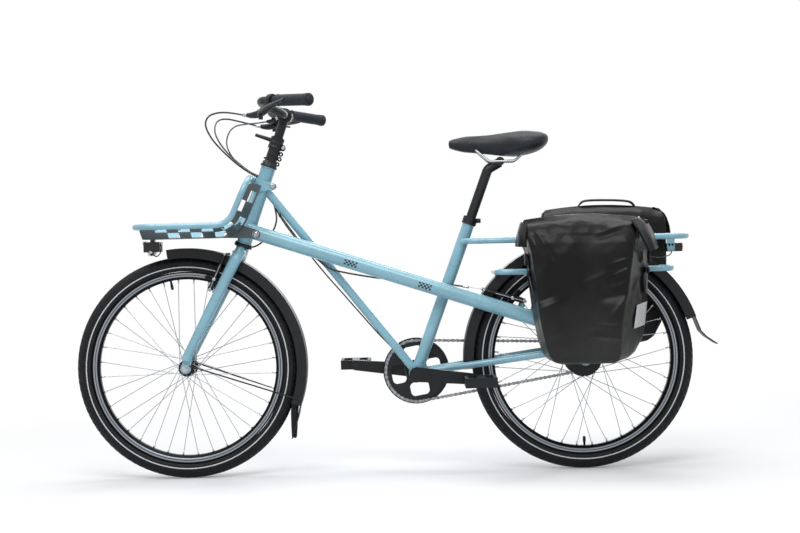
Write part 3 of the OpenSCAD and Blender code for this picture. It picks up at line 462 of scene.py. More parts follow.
# Extruded PVC cable housing: black, half gloss, dead smooth but for handling marks
housing = mottled("extruded_pvc_housing", "#18191b", (8, 0.27, 0.4), (2.5, 1.0, 0.01), ior=1.52)
tarpaulin = coated_tarpaulin()
microfibre = synthetic_leather()
# Woven nylon strap: black, matt, with a ribbed weave of 1.5 mm picks
webbing = ribbed("woven_nylon_webbing", (3, "#18191b", "#252729"), (1.5, "XZ"), 0.15,
                 roughness=0.68, ior=1.53, sheen_weight=0.2)
# Clear polycarbonate lens over a white reflector: bright, glossy, with fine moulded flutes
clear_lens = ribbed("clear_polycarbonate", (10, "#d9dde0", "#f0f2f3"), (4.0, "Y"), 0.3,
                    roughness=0.12, ior=1.58, coat_weight=0.6, coat_roughness=0.05)
# Red polycarbonate lens with moulded prisms
red_lens = ribbed("red_polycarbonate", (6, "#8f0e16", "#c4202a"), (3.0, "YZ"), 0.2,
                  roughness=0.14, ior=1.58, coat_weight=0.5, coat_roughness=0.05)


def finish_cad_nodes():
    """Gives every CAD node that stays its finish, by the piece that it is."""
    finishes = {
        coat_blue: "head_tube main_tubes diagonal_tube seat_tube bottom_bracket chainstays rack_stays rear_rack "
                   "pannier_rails front_rack fork",
        tray_coat: "front_tray",
        coat_black: "seat_collar seatpost stem handlebar rear_brake front_brake chainring",
        anodised: "front_hub rear_hub cranks",
        polypropylene: "rear_mudguard front_mudguard left_pedal right_pedal",
        lamp_abs: "tail_lamp front_lamp",
        zinc: "rear_axle front_axle",
        stainless: "front_spokes rear_spokes saddle_rails",
        chain_steel: "chain sprocket",
        rim_material("machined_rim_front", FRONT_AXLE): "front_rim",
        rim_material("machined_rim_rear", REAR_AXLE): "rear_rim",
    }
    for material, names in finishes.items():
        for name in names.split():
            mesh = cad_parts[name].data
            mesh.materials.clear()
            mesh.materials.append(material)


# ---------- stage ----------

def set_camera():
    """A 65 mm lens 4 m to the bicycle's left, turned and rolled as the view is."""
    data = bpy.data.cameras.new("side_view")
    data.lens = 65.2
    data.sensor_width = 36
    data.clip_end = 60
    roll, pitch = math.radians(1.467), math.atan(21.5 / 1449)
    right = Vector((math.cos(roll), 0, -math.sin(roll)))
    level_up = Vector((math.sin(roll), 0, math.cos(roll)))
    ahead = Vector((0, 1, 0)) * math.cos(pitch) - level_up * math.sin(pitch)
    up = level_up * math.cos(pitch) + Vector((0, 1, 0)) * math.sin(pitch)
    camera = bpy.data.objects.new("side_view", data)
    turn = Matrix((right, up, -ahead)).transposed().to_4x4()
    camera.matrix_world = Matrix.Translation(Vector(to_row([589.3, -3976, 624.4]))) @ turn
    scene.collection.objects.link(camera)
    scene.camera = camera


def clear_rays(tree):
    """1 for rays that come straight from the camera, a clear reflection or a lens, and 0 for the others."""
    rays = add(tree, "ShaderNodeLightPath").outputs
    seen = rays["Is Camera Ray"]
    for kind in ("Is Glossy Ray", "Is Transmission Ray"):
        seen = add(tree, "ShaderNodeMath", {0: seen, 1: rays[kind]}, operation="MAXIMUM").outputs[0]
    return seen


def floor_material():
    """Pale matt studio floor: lit paint near the wheels that fades to the plain white of the backdrop."""
    f = Finish("matt_studio_floor", base_color=linear("#e9eaec"), roughness=0.9)
    distance = add(f.tree, "ShaderNodeVectorMath", {0: f.place}, operation="LENGTH").outputs["Value"]
    far = f.spread(distance, 1.2, 2.6, 0.12, 1.0, smooth=True)
    seen = clear_rays(f.tree)
    white = add(f.tree, "ShaderNodeEmission", {"Color": (1, 1, 1, 1), "Strength": 1.0}).outputs[0]
    both = add(f.tree, "ShaderNodeMixShader", {0: f.math("MULTIPLY", far, seen), 1: f.shader.outputs[0], 2: white})
    f.tree.links.new(both.outputs[0], f.output.inputs[0])
    return f.material


def set_world():
    """Soft even light for the object, and plain white where the camera or a clear reflection looks past it."""
    world = bpy.data.worlds.new("studio")
    world.use_nodes = True
    tree = world.node_tree
    tree.nodes.clear()
    soft = add(tree, "ShaderNodeBackground", {"Color": (0.96, 0.98, 1.0, 1), "Strength": 0.38}).outputs[0]
    white = add(tree, "ShaderNodeBackground", {"Color": (1, 1, 1, 1), "Strength": 1.0}).outputs[0]
    mixed = add(tree, "ShaderNodeMixShader", {0: clear_rays(tree), 1: soft, 2: white}).outputs[0]
    add(tree, "ShaderNodeOutputWorld", {"Surface": mixed})
    scene.world = world


def set_stage():
    """Floor disc at the tyres' lowest point, centred below the sitting point, and three large soft lamps."""
    disc = turned([SIT_POINT[0], 0, 0], [0, 0, 1], [[-2, 9000], [0, 9000]], 96)
    make_piece("floor", disc, floor_material(), smooth=False)
    lamps = {
        "key_softbox": ([200, -1900, 2700], [560, 0, 500], 2.4, 1.6, 62),
        "top_softbox": ([620, 300, 3000], [620, 0, 500], 3.0, 1.2, 54),
        "back_fill": ([1200, 2600, 1500], [600, 0, 500], 2.0, 1.4, 26),
    }
    for name, (place, aim, width, height, watts) in lamps.items():
        data = bpy.data.lights.new(name, "AREA")
        data.shape = "RECTANGLE"
        data.size, data.size_y, data.energy = width, height, watts
        lamp = bpy.data.objects.new(name, data)
        place = Vector(to_row(place))
        turn = (Vector(to_row(aim)) - place).to_track_quat("-Z", "Y").to_matrix().to_4x4()
        lamp.matrix_world = Matrix.Translation(place) @ turn
        scene.collection.objects.link(lamp)


# ---------- wheels ----------

def wheel_surface(axle, y, r, turns=np.linspace(0, 2 * np.pi, 360, endpoint=False)):
    """A section (y, r) carried round an axle: x = axle.x + r cos a, z = axle.z + r sin a."""
    y, r = np.broadcast_arrays(np.asarray(y, float), np.asarray(r, float))
    if r.ndim == 1:
        y, r = y[None], r[None]
    a = turns[:, None]
    return np.stack(np.broadcast_arrays(axle[0] + r * np.cos(a), y, axle[2] + r * np.sin(a)), -1)


def tyre(name, axle, body, node):
    """Round section whose crown carries tread: ribs cut by slanted grooves, and a plain rib in the middle. The depth
    is a product of smooth steps, one round the wheel and two across the crown. The section is open at the rim."""
    turns = np.linspace(0, 2 * np.pi, 864, endpoint=False)
    section = np.linspace(math.radians(-216), math.radians(36), 57)
    from_crown = section + math.pi / 2
    crown = np.abs(from_crown / math.radians(62))
    grooves = 1 / (1 + np.exp(-14 * np.cos(96 * turns[:, None] + 5.0 * np.sign(from_crown) * crown)))
    depth = 1.3 * grooves * np.clip((crown - 0.1) / 0.05, 0, 1) * np.clip((1.0 - crown) / 0.08, 0, 1)
    radius = TYRE_D / 2 - 0.1 - depth
    y, r = radius * np.cos(section), TYRE_R - TYRE_D / 2 - radius * np.sin(section)
    points, faces = lofted(wheel_surface(axle, y, r, turns), wrap_rows=True)
    row = np.asarray(faces) % len(section)
    faces = np.asarray(faces)[np.ptp(row, axis=1) < 2]
    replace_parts(make_piece(name, (points, faces.tolist()), rubber, body), node)


def sidewall_band(name, axle, body):
    """A 3 mm reflective band on each sidewall, 0.3 mm proud of the rubber."""
    lean = np.radians([3.5, 7, 10.5, 10.5, 7, 3.5])
    lift = TYRE_D / 2 + np.array([0.2, 0.2, 0.2, -0.4, -0.4, -0.4])
    r = TYRE_R - TYRE_D / 2 - lift * np.sin(lean)
    band = lofted(wheel_surface(axle, lift * np.cos(lean), r), wrap_rows=True)
    make_piece(name, both_sides(band), bead_film, body)


def nipples_and_valve(name, axle, body, valve_turn=-90.0):
    """Short tapered nipples where the spokes enter the rim, and a capped valve stem at the joint of two spokes."""
    def outwards(turn):
        return np.array([math.cos(turn), 0, math.sin(turn)])

    nipples = []
    for side in (-1, 1):
        for i in range(SPOKES_A_SIDE):
            out = outwards(math.radians((i + side / 4) * 360 / SPOKES_A_SIDE))
            nipples.append(turned(axle + out * (RIM_BED_R - 1.4) + aside(side * 1.5), unit(aside(side * 0.11) - out),
                                  [[-1, 2.6], [3, 2.6], [11, 1.6], [11.2, 1.1]], 8))
    make_piece(name + "_nipples", nipples, zinc, body)
    out = outwards(math.radians(valve_turn))
    profile = [[-2, 3], [8, 3], [8.2, 3.6], [13, 3.6], [13.2, 4.2], [24, 4.0], [26, 2.6], [26.4, 0.4]]
    valve = turned(axle + out * RIM_BED_R, -out, profile, 16)
    make_piece(name + "_valve", valve, polypropylene, body)


# ---------- cables ----------

NEAR_BRAKE_LOOP = [[190, -174, 975], [150, -163, 983], [118, -147, 985], [90, -124, 978], [78, -98, 958],
                   [88, -72, 927], [110, -48, 897], [142, -20, 864], [170, 4, 841]]
NEAR_BRAKE_RUN = [[199, 27, 822], [215, 33, 801], [230, 32, 776], [245, 20, 745], [262, 5, 712], [291, -8, 669],
                  [324, -10, 627], [364, -13, 590], [394, -16.5, 566], [437, -17.5, 553], [527, -19, 536],
                  [610, -21, 527], [688, -23, 518], [735, -25, 511], [760, -29, 507]]
SHIFT_LOOP = [[224, 149, 985], [192, 127, 979], [162, 98, 974], [137, 66, 965], [122, 44, 944], [118, 30, 915],
              [129, 20, 886], [151, 14, 859], [176, 16, 838]]
SHIFT_RUN = [[203, 34, 821], [219, 39, 800], [234, 37, 775], [248, 26, 744], [264, 12, 713], [295, 7, 668],
             [326, 3, 625], [358, 0, 582], [393, -1, 538], [428, -2, 497], [468, -2, 449], [524, -2, 383],
             [566, -3, 338], [590, -2, 308], [597, 6, 270], [618, 16, 247], [642, 20, 249], [660, 21, 257]]
FAR_BRAKE_LOOP = [[190, 174, 975], [148, 162, 986], [106, 142, 994], [84, 112, 985], [80, 80, 957],
                  [94, 54, 924], [121, 34, 889], [154, 24, 858], [180, 26, 837]]
FAR_BRAKE_MIDDLE = [[206, 39, 822], [223, 44, 800], [235, 40, 773], [243, 27, 749], [250, 17, 722], [251, 10, 698],
                    [242, 5, 673], [224, 4, 653]]
FAR_BRAKE_END = [[206, 9, 639], [190, 24, 631], [166, 38, 627], [142, 44, 621], [124, 46, 617.5]]


def cable(name, loops, radius=2.4):
    """A housing of constant radius along a smooth curve, cut where it changes the body that holds it. Each part is
    (points, first body, second body); a part with two bodies turns smoothly between them along its length."""
    route = smooth_path([p for points, _, _ in loops for p in points], 8)
    start = 0
    for k, (points, first, second) in enumerate(loops):
        end = start + 8 * len(points) + 1 if k < len(loops) - 1 else len(route)
        path = route[start:end]
        held = first if first == second else None
        piece = make_piece(f"{name}_{k + 1}", tube(path, radius, 10), housing, held)
        if not held:
            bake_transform(piece)
        start = end - 1


def cables():
    """Brake and shift cables: from the levers in a loop ahead of the head tube, past its right side, and back
    between the main tubes; bare wire reaches the rear brake's link."""
    cable("rear_brake_cable", [(NEAR_BRAKE_LOOP, "steering", "frame"), (NEAR_BRAKE_RUN, "frame", "frame")])
    cable("shift_cable", [(SHIFT_LOOP, "steering", "frame"), (SHIFT_RUN, "frame", "frame")], 2.0)
    cable("front_brake_cable", [(FAR_BRAKE_LOOP, "steering", "frame"), (FAR_BRAKE_MIDDLE, "frame", "frame"),
                                (FAR_BRAKE_END, "frame", "steering")])
    wire = tube(smooth_path([[756, -28, 507.5], [785, -35, 503], [814, -44, 499]]), 0.9, 8)
    make_piece("rear_brake_wire", wire, stainless, "frame")
    adjuster = tube(smooth_path([[757, -28.2, 507.5], [774, -32, 505]], 6), 3.6, 14)
    make_piece("rear_brake_adjuster", adjuster, zinc, "frame")


# ---------- controls and small fittings ----------

BAR_END = np.array([368.0, 312.0, 998.0])
BAR_BEND = np.array([221.7, 158.0, 1012.9])
GRIP_DIR = unit(BAR_END - BAR_BEND)
GRIP_LEN = 122.0
BAR_CLAMP_S = 737.0


def bar_pt(s):
    """Point of the bar on the rider's right, s inwards from its end along the grip."""
    return BAR_END - s * GRIP_DIR


def grips():
    """Rubber grips: a waisted tube with flared ends, ribs under the palm and a notched end cap."""
    s = np.linspace(0, GRIP_LEN, 82)
    flare = 1.6 * np.exp(-(s / 16.0) ** 2) + 1.2 * np.exp(-((s - GRIP_LEN) / 4.0) ** 2)
    ribs = 0.35 * np.clip(np.cos(s * 2 * np.pi / 6.0), 0, 1) * np.clip((s - 24) / 6, 0, 1)
    ribs *= np.clip((GRIP_LEN - 10 - s) / 6, 0, 1)
    inner_end = [[GRIP_LEN + 1, 15], [GRIP_LEN + 1, 11.5]]
    profile = np.concatenate([[[-3.5, 5], [-3.5, 13.5], [-2, 16.0]], np.stack([s, 15.0 + flare + ribs], -1), inner_end])
    rubber_grips = both_sides(turned(BAR_END, -GRIP_DIR, profile, 40))
    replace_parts(make_piece("rubber_grips", rubber_grips, kraton, "steering"), "grips")
    notches = [tube([bar_pt(-3.9) + d, bar_pt(-3.9) - d], 1.6, 8) for d in ([0, 0, 12.5], [7, -6.5, 0])]
    cap = turned(bar_pt(-2), -GRIP_DIR, [[-3, 1], [-3, 10], [0, 11]], 32)
    make_piece("grip_end_caps", both_sides(cap, *notches), polypropylene, "steering")


def brake_levers():
    """Brake levers: a hinged clamp on the bar, a body that runs down and forward to the cable's mouth, an adjuster
    there, and a flattened blade ahead of the grip."""
    clamp = turned(bar_pt(157), GRIP_DIR, [[0, 12.5], [0, 16.5], [1.5, 17.5], [12.5, 17.5], [14, 16.5], [14, 12.5]])
    neck = smooth_path([bar_pt(150) + [-2, 0, -8], [250, 201, 988], [232, 195, 976], [212, 184, 973],
                        [198, 177, 974.5]], 6)
    width, depth = (np.interp(np.arange(len(neck)), [0, 8, 16, 24], sizes) for sizes in ([10, 14, 11, 6],
                                                                                     [12, 11, 9, 5.5]))
    body = flat_tube(neck, width, depth, (0.2, 0, 1))
    hinge = turned([236, 203, 984], [0, 0.15, -1], [[0, 0.5], [0, 6], [24, 6], [24, 0.5]], 20)
    bodies = make_piece("lever_bodies", both_sides(clamp, body, hinge), coat_black, "steering")
    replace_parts(bodies, "brake_levers")
    reach = smooth_path([[232, 202, 974], [238, 232, 979], [256, 266, 986], [280, 296, 992], [296, 312, 996],
                         [303, 319, 999]], 7)
    k = np.linspace(0, 1, len(reach))
    bulb = 1.8 * np.exp(-((k - 0.95) / 0.06) ** 2)
    blade = flat_tube(reach, 8.5 - 2 * k + bulb, 4.2 - 0.8 * k, (-0.5, 0.5, 0.7))
    make_piece("lever_blades", both_sides(blade), coat_black, "steering")
    mouth = turned([199, 177.5, 974.5], [-1, -0.36, 0.06],
                   [[0, 4.8], [2, 5.2], [9, 5.2], [10, 4.2], [15, 3.4], [15.2, 1]], 18)
    pin = bolt([236, 203, 984.5], [0, 0.15, 1], 4, 3)
    make_piece("lever_adjusters", both_sides(mouth, pin), zinc, "steering")


def shifter():
    """Trigger shifter on the right: a clamp, a rounded pod under the bar with two thumb levers and a bare gear
    window, and the mouth of its cable."""
    clamp = turned(bar_pt(180), GRIP_DIR, [[0, 12.5], [0, 17], [1.5, 18.5], [16, 18.5], [18, 17], [18, 12.5]])
    pod = pillow([247, 187, 996], [17, 15, 12], 3.5)
    nose = tube(smooth_path([[240, 180, 990], [230, 160, 986], [222, 146, 985]], 6), np.linspace(8, 4.5, 13), 16)
    thumbs = [flat_tube(smooth_path([[248, 190, 986], [264, 196, 975], [280, 206, 972]], 6), 6, 2.4),
              flat_tube(smooth_path([[240, 184, 988], [250, 180, 974], [262, 184, 967]], 6), 5.5, 2.2)]
    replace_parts(make_piece("trigger_shifter", [clamp, pod, nose, *thumbs], polypropylene, "steering"),
                "shifter")
    window = pillow([245, 184, 1008], [11, 8, 2.2], 5)
    make_piece("shifter_window", window, bead_film, "steering")


def stem_fittings():
    """Parts of the folding stem: a flared base, a grooved clamp band with its bolt, and three cable eyes behind."""
    def upright(corners, y0, y1):
        """Plate whose corners are (s, forward) on the steering axis."""
        return plate([head_pt(s, forward)[[0, 2]] for s, forward in corners], y0, y1)

    base = turned(head_pt(589.5), HEAD_AXIS,
                  [[0, 16.5], [0, 22.6], [2, 23.4], [5, 23.2], [9, 19.5], [17, 17.2], [18, 16]], 40)
    band = turned(head_pt(642), HEAD_AXIS, [[0, 16], [0, 19.2], [1.2, 19.8], [9, 19.8], [10, 18.6], [12, 18.6],
                                            [13, 19.8], [20, 19.8], [21.5, 18.8], [21.5, 16]], 40)
    ear = ((644, -14), (644, -24), (648, -28), (656, -28), (660, -24), (660, -14))
    ears = [upright(ear, *ends) for ends in ((-9, -2), (2, 9))]
    eyes = [ring(head_pt(s, forward), [0, 1, 0], 4.4, 2.2) for s, forward in ((634, -21), (620, -21.4), (605, -20))]
    lugs = [upright(((s - 6, -14), (s - 4, -19), (s + 4, -19), (s + 6, -14)), -2.5, 2.5) for s in (634, 620, 605)]
    front = [pillow(head_pt(s, 17), [4, 5, 2.6], 4, 8) for s in (602, 612)]
    make_piece("stem_clamp", [base, band, *ears, *eyes, *lugs, *front], coat_black, "steering")
    bolts = [bolt(head_pt(652, -22, -9), [0, -1, 0], 5.2, 4), tube([head_pt(652, -22, -9), head_pt(652, -22, 12)], 2.8),
             turned(head_pt(652, -22, 9), [0, 1, 0], [[0, 5], [5, 5], [6, 4], [6, 0.5]], 6)]
    make_piece("stem_clamp_bolt", bolts, zinc, "steering")
    hoop = turned(head_pt(BAR_CLAMP_S, 0, 19), [0, 1, 0], [[-4, 12.8], [-4, 20.4], [4, 20.4], [4, 12.8]], 40)
    make_piece("bar_clamp_bands", both_sides(hoop), anodised, "steering")
    screws = both_sides(*[bolt(head_pt(BAR_CLAMP_S + s, 19.5, 13), [-0.94, 0, 0.33], 3.4, 3) for s in (13, -13)])
    make_piece("bar_clamp_bolts", screws, zinc, "steering")


def head_fittings():
    """Rack brackets beside the head tube with their bolts, and the lower bearing's black cup."""
    outline = [(184, 806), (196, 790), (206, 779), (237, 783), (249, 787), (252, 797), (243, 804), (212, 812),
               (198, 819), (186, 822)]
    brackets = both_sides(plate(outline, 23.4, 26.4))
    bevelled(make_piece("rack_brackets", brackets, coat_blue, "frame", smooth=False), 0.6)
    silver = [bolt([245, 26.4, 795], [0, 1, 0], 6.4, 4), ring([245, 27.0, 795], [0, 1, 0], 7.4, 1.0),
              bolt([200, 59.2, 664], [0, 1, 0], 6.2, 4), ring([200, 59.8, 664], [0, 1, 0], 8.0, 1.1)]
    make_piece("rack_bolts", both_sides(*silver), zinc, "frame")
    cup = turned(head_pt(359.5), HEAD_AXIS, [[0, 20], [0, 23.6], [1.5, 24.8], [9.5, 24.8], [11, 23.6], [11.6, 20]], 40)
    make_piece("lower_bearing_cup", cup, coat_black, "frame")
    clip = [pillow([268, 0, 721], [5, 4, 6], 3, 8), tube([[262, -1, 713], [262, 15, 712]], 3.8)]
    make_piece("cable_clip", clip, polypropylene, "frame")


def brake_fittings(name, body, axle, stud, top):
    """What hangs on a pair of brake arms: shoe and pad at the rim, pivot bolt, return spring, link wire and boot.
    Points at share t of the arm are stud + t (top - stud)."""
    stud, arm = np.asarray(stud, float), np.asarray(top, float) - stud
    shoe = stud + 0.3 * arm
    out = unit((shoe - axle) * [1, 0, 1])
    tangent = np.array([-out[2], 0, out[0]])
    at_rim = axle + out * BRAKE_TRACK_R
    along = np.linspace(-29, 29, 13)
    pad_line = at_rim + along[:, None] * tangent + aside(20.5)
    pad = flat_tube(pad_line, np.where(np.abs(along) > 27, 3.5, 5.6), 4.2, (0, 1, 0))
    post = tube([at_rim + aside(24), shoe + aside(12)], 3.6, 14)
    boss = turned(shoe - aside(9), [0, 1, 0], [[0, 6], [1, 8.6], [17, 8.6], [19, 6]], 24)
    middle = np.array([top[0], 0, top[2]])
    boot = turned(middle, [0, 1, 0], [[-15, 1.2], [-14, 2.6], [-10, 3.4], [-6, 2.6], [-2, 3.4], [2, 2.6], [6, 3.4],
                                      [10, 2.6], [14, 1.2]], 14)
    make_piece(name + "_brake_shoes", [both_sides(pad, post, boss), boot], rubber, body)
    spring = smooth_path([stud + aside(11), stud + 0.25 * arm + aside(11), stud + 0.72 * arm + aside(9.5)])
    bolts = [bolt(place + aside(y), [0, 1, 0], head_r, height)
             for place, y, head_r, height in ((stud, 8, 5.4, 4), (shoe, 11, 5.2, 4), (stud + arm, 5, 3.6, 3))]
    link = tube([middle - aside(46), middle + aside(46)], 0.9, 8)
    make_piece(name + "_brake_hardware", [both_sides(*bolts, tube(spring, 1.0, 8)), link], zinc, body)


def lamp_wire(name, corners):
    """Thin black wire along a smooth curve."""
    make_piece(name, tube(smooth_path(corners), 1.5, 8), housing, "frame")


def lamps():
    """Lenses, housings, knob, bracket and wires of the two lamps."""
    make_piece("head_lamp_lens", pillow([-110.5, 0, 647], [3, 23, 6.5], 6), clear_lens, "frame")
    face = plate([(-107, 634), (-97, 636), (-89, 614), (-97, 611)], -20, 20)
    bevelled(make_piece("head_lamp_face", face, clear_lens, "frame", smooth=False), 1.6)
    shell = plate([(-98, 638), (-84, 637), (-82, 618), (-88, 611), (-92, 612)], -24, 24)
    bevelled(make_piece("head_lamp_body", shell, lamp_abs, "frame", smooth=False), 1.6)
    knob = turned([-90, -24, 622], [0, -1, 0], [[0, 5], [4, 5.2], [6, 4], [6.2, 0.4]], 20)
    make_piece("head_lamp_knob", knob, zinc, "frame")
    lamp_wire("head_lamp_wire", [[-88, -10, 616], [-78, -10, 610], [-68, -10, 618], [-64, -10, 632], [-66, -10, 646]])
    make_piece("tail_lamp_lens", pillow([1357.5, 0, 601], [4.2, 23, 9.5], 5), red_lens, "frame")
    bracket = plate([(1318, 590), (1338, 590), (1338, 622), (1316, 622)], -25.6, -23.6)
    make_piece("tail_lamp_bracket", bracket, coat_blue, "frame", smooth=False)
    screws = [bolt([x, -25.6, 607], [0, -1, 0], 3.4, 2.4) for x in (1323, 1332)]
    make_piece("tail_lamp_screws", screws, coat_black, "frame")
    lamp_wire("tail_lamp_wire", [[1334, 0, 592], [1330, 0, 580], [1306, 0, 572], [1280, 4, 574], [1258, 6, 584]])


def tube_print():
    """Two plain chequer blocks printed on each main tube. Each square is a patch at distance s along the tube and
    angle a round it: middle + s along + R (cos a out + sin a up), R being 0.2 mm more than the tube's radius."""
    front, back = np.array([168.0, 34, 676]), np.array([1076.0, 66, 374])
    along = unit(back - front)
    up = unit(np.cross(along, [0, 1, 0]))
    out = unit(np.cross(up, along))
    radius, square = 20.2, 5.2
    parts = []
    for centre_x in (456, 655):
        middle = front + (centre_x - front[0]) / along[0] * along
        for column, row in ((c, r) for c in range(7) for r in range(4) if (c + r) % 2 == 0):
            s = (column - 3.5 + np.array([0, 0.5, 1])[:, None, None]) * square
            a = (row - 2 + np.array([0, 0.5, 1])[None, :, None]) * square / radius
            points = middle + s * along + radius * (np.cos(a) * out + np.sin(a) * up)
            parts.append((points.reshape(-1, 3), grid_quads(3, 3, wrap_columns=False).tolist()))
    make_piece("tube_chequer", both_sides(*parts), ink, "frame")


def front_flap():
    """Rubber flap under the front mudguard's end: a thick tongue that hangs and curls back a little."""
    outline = [(313, 222), (300, 196), (296, 160), (295, 138), (292, 103), (280, 106), (279, 140), (279, 170),
               (281, 200), (296, 223)]
    bevelled(make_piece("front_guard_flap", plate(outline, -19, 19), rubber, "steering"), 1.8)


# ---------- saddle ----------

SADDLE_ROWS = np.array([
    [725, 12, 905, 890], [732, 20, 911, 883], [760, 24, 914, 878], [800, 27, 915, 874], [840, 34, 917, 869],
    [880, 52, 921, 864], [915, 72, 925, 862], [950, 82, 927, 865], [980, 76, 926, 874], [996, 58, 921, 887],
    [1001, 40, 915, 896]], float)


def saddle_sections(stations, inset):
    """Columns of place, half width, top and skirt heights: linear between the rows in arc length, then smoothed.
    The inset leaves room for the cloth to swell."""
    s = np.cumsum([0, *np.linalg.norm(np.diff(SADDLE_ROWS[:, :2], axis=0), axis=1)])
    t = np.linspace(0, s[-1], stations)
    rows = np.stack([np.interp(t, s, column) for column in SADDLE_ROWS.T], -1)
    for _ in range(4):
        rows = smoothed(rows, [1, 4, 6, 4, 1])
    rows += inset * np.array([0, -1, -1, 0.3])
    return rows.T[..., None]


def saddle_pad():
    """Crowned pad: each section is |cos|^0.75 wide, with its skirt drawn down at the sides and a shallow
    channel along the middle; it is puffed by cloth pressure and held within 4 mm of its start."""
    place, half_width, top, skirt = saddle_sections(72, 1.5)
    u = np.linspace(0, 2 * np.pi, 64, endpoint=False)
    c, q = np.cos(u)[None], np.sin(u)[None]
    y = half_width * np.sign(c) * np.abs(c) ** 0.75
    z = skirt + (top - skirt) * np.where(q > 0, 0.45 + 0.55 * np.abs(q) ** 0.8, 0.45 + 0.45 * q)
    channel = np.exp(-(y / 7.0) ** 2) * np.clip((place - 790) / 60, 0, 1) * np.clip((985 - place) / 40, 0, 1)
    skin = lofted(np.stack([place + 0 * c, y, z - 3.0 * channel * (q > 0)], -1))
    pad = make_piece("saddle_pad", skin, microfibre, "frame")
    puff(pad, 0.004, 3.0)
    shade = pad.modifiers.new("smooth", "SUBSURF")
    shade.levels = shade.render_levels = 1
    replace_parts(pad, "saddle")


def settled_mesh(piece):
    """The piece's mesh as its modifiers leave it, which are then taken off."""
    bpy.context.view_layer.update()
    mesh = bpy.data.meshes.new_from_object(piece.evaluated_get(bpy.context.evaluated_depsgraph_get()))
    piece.modifiers.clear()
    return mesh


def points_of(mesh):
    """The mesh's points as rows."""
    points = np.empty(len(mesh.vertices) * 3)
    mesh.vertices.foreach_get("co", points)
    return points.reshape(-1, 3)


def puff(piece, cap, pressure):
    """Voxel remesh at 4 mm, cloth with pressure and no gravity for 20 frames, then each point is brought back
    to at most cap metres from its start."""
    remesh = piece.modifiers.new("remesh", "REMESH")
    remesh.mode = "VOXEL"
    remesh.voxel_size = 0.004
    piece.data = settled_mesh(piece)
    start = points_of(piece.data)
    cloth = piece.modifiers.new("cloth", "CLOTH").settings
    cloth.use_pressure = True
    cloth.uniform_pressure_force = pressure
    cloth.effector_weights.gravity = 0
    cloth.quality = 5
    for number in range(1, 21):
        scene.frame_set(number)
    swollen = settled_mesh(piece)
    scene.frame_set(1)
    move = points_of(swollen) - start
    move *= np.minimum(1, cap / np.maximum(np.linalg.norm(move, axis=1, keepdims=True), 1e-9))
    swollen.vertices.foreach_set("co", (start + move).ravel())
    swollen.polygons.foreach_set("use_smooth", [True] * len(swollen.polygons))
    swollen.update()
    piece.data = swollen


# ---------- bags ----------

BAG_LEVELS = np.array([
    # height, front and rear at the rack side, front and rear at the outer side, inner and outer depth
    [301, 1002, 1165, 1006, 1140, 16, 106], [308, 978, 1196, 984, 1150, 5, 124], [322, 966, 1216, 972, 1153, 0, 135],
    [360, 952, 1238, 960, 1155, 0, 140], [403, 944, 1248, 951, 1159, 0, 141], [460, 936, 1254, 943, 1170, 0, 141],
    [527, 929, 1256, 937, 1181, 0, 140], [590, 922, 1256, 930, 1193, 0, 136], [620, 917, 1255, 924, 1199, 2, 129],
    [640, 913, 1254, 919, 1203, 5, 119], [655, 910, 1252, 915, 1205, 11, 107], [667, 910, 1249, 912, 1208, 21, 93],
    [676, 913, 1245, 914, 1210, 34, 76], [681, 918, 1241, 918, 1212, 44, 66]], float)


def arch(x):
    """Height of the rolled top above its ends, from 0 to 1: a parabola over the bag's length."""
    return np.clip(1 - ((x - 1070) / 165) ** 2, 0, 1)


def bag_rings(levels=150, a_side=58):
    """Four-cornered ring at each height: points at even steps round the four sides, their corners rounded by a
    running mean. The upper rings are lifted by the arch of the rolled top."""
    span = np.cumsum([0, *np.linalg.norm(np.diff(BAG_LEVELS[:, [0, 1, 6]], axis=0), axis=1)])
    t = np.linspace(0, span[-1], levels)
    rows = smoothed(np.stack([np.interp(t, span, column) for column in BAG_LEVELS.T], -1), [1, 2, 3, 2, 1])
    z, f0, r0, f1, r1, inner, outer = rows.T[..., None]
    corners = [np.stack([x, y, z], -1) for x, y in ((f1, outer), (r1, outer), (r0, inner), (f0, inner))]
    share = (np.arange(a_side) / a_side)[None, :, None]
    sides = [a + (b - a) * share for a, b in zip(corners, corners[1:] + corners[:1])]
    shape = smoothed(np.concatenate(sides, 1), [1, 2, 3, 3, 3, 2, 1], axis=1, loop=True)
    rise = np.clip((shape[..., 2] - 610) / 70, 0, 1)
    shape[..., 2] += 13 * arch(shape[..., 0]) * rise ** 1.5
    return shape


FOLDS = [
    # start and end in X and Z on the outer panel, half width, height; a negative height is a dent
    ((1118, 646), (1196, 672), 5, 5.0), ((1110, 632), (1190, 655), 9, -6.0), ((1132, 560), (1178, 572), 6, 4.5),
    ((1136, 528), (1176, 546), 5, 5.0), ((1070, 516), (1120, 536), 9, 4.0), ((1100, 500), (1166, 520), 13, -7.0),
    ((1098, 470), (1160, 482), 16, -7.0), ((1136, 428), (1168, 470), 6, 6.0), ((1106, 404), (1160, 398), 6, 5.0),
    ((1082, 376), (1150, 368), 7, -8.0), ((1080, 390), (1140, 392), 6, 3.5), ((932, 640), (958, 574), 6, 7.0),
    ((950, 640), (984, 580), 9, -6.0), ((938, 520), (960, 560), 8, 4.0), ((944, 470), (990, 486), 8, -5.0),
    ((948, 448), (984, 462), 6, 4.0), ((960, 372), (1004, 392), 9, -4.0), ((1000, 330), (1060, 324), 9, -3.0),
    ((1010, 640), (1096, 634), 14, -4.0), ((1040, 600), (1100, 560), 24, -3.0)]


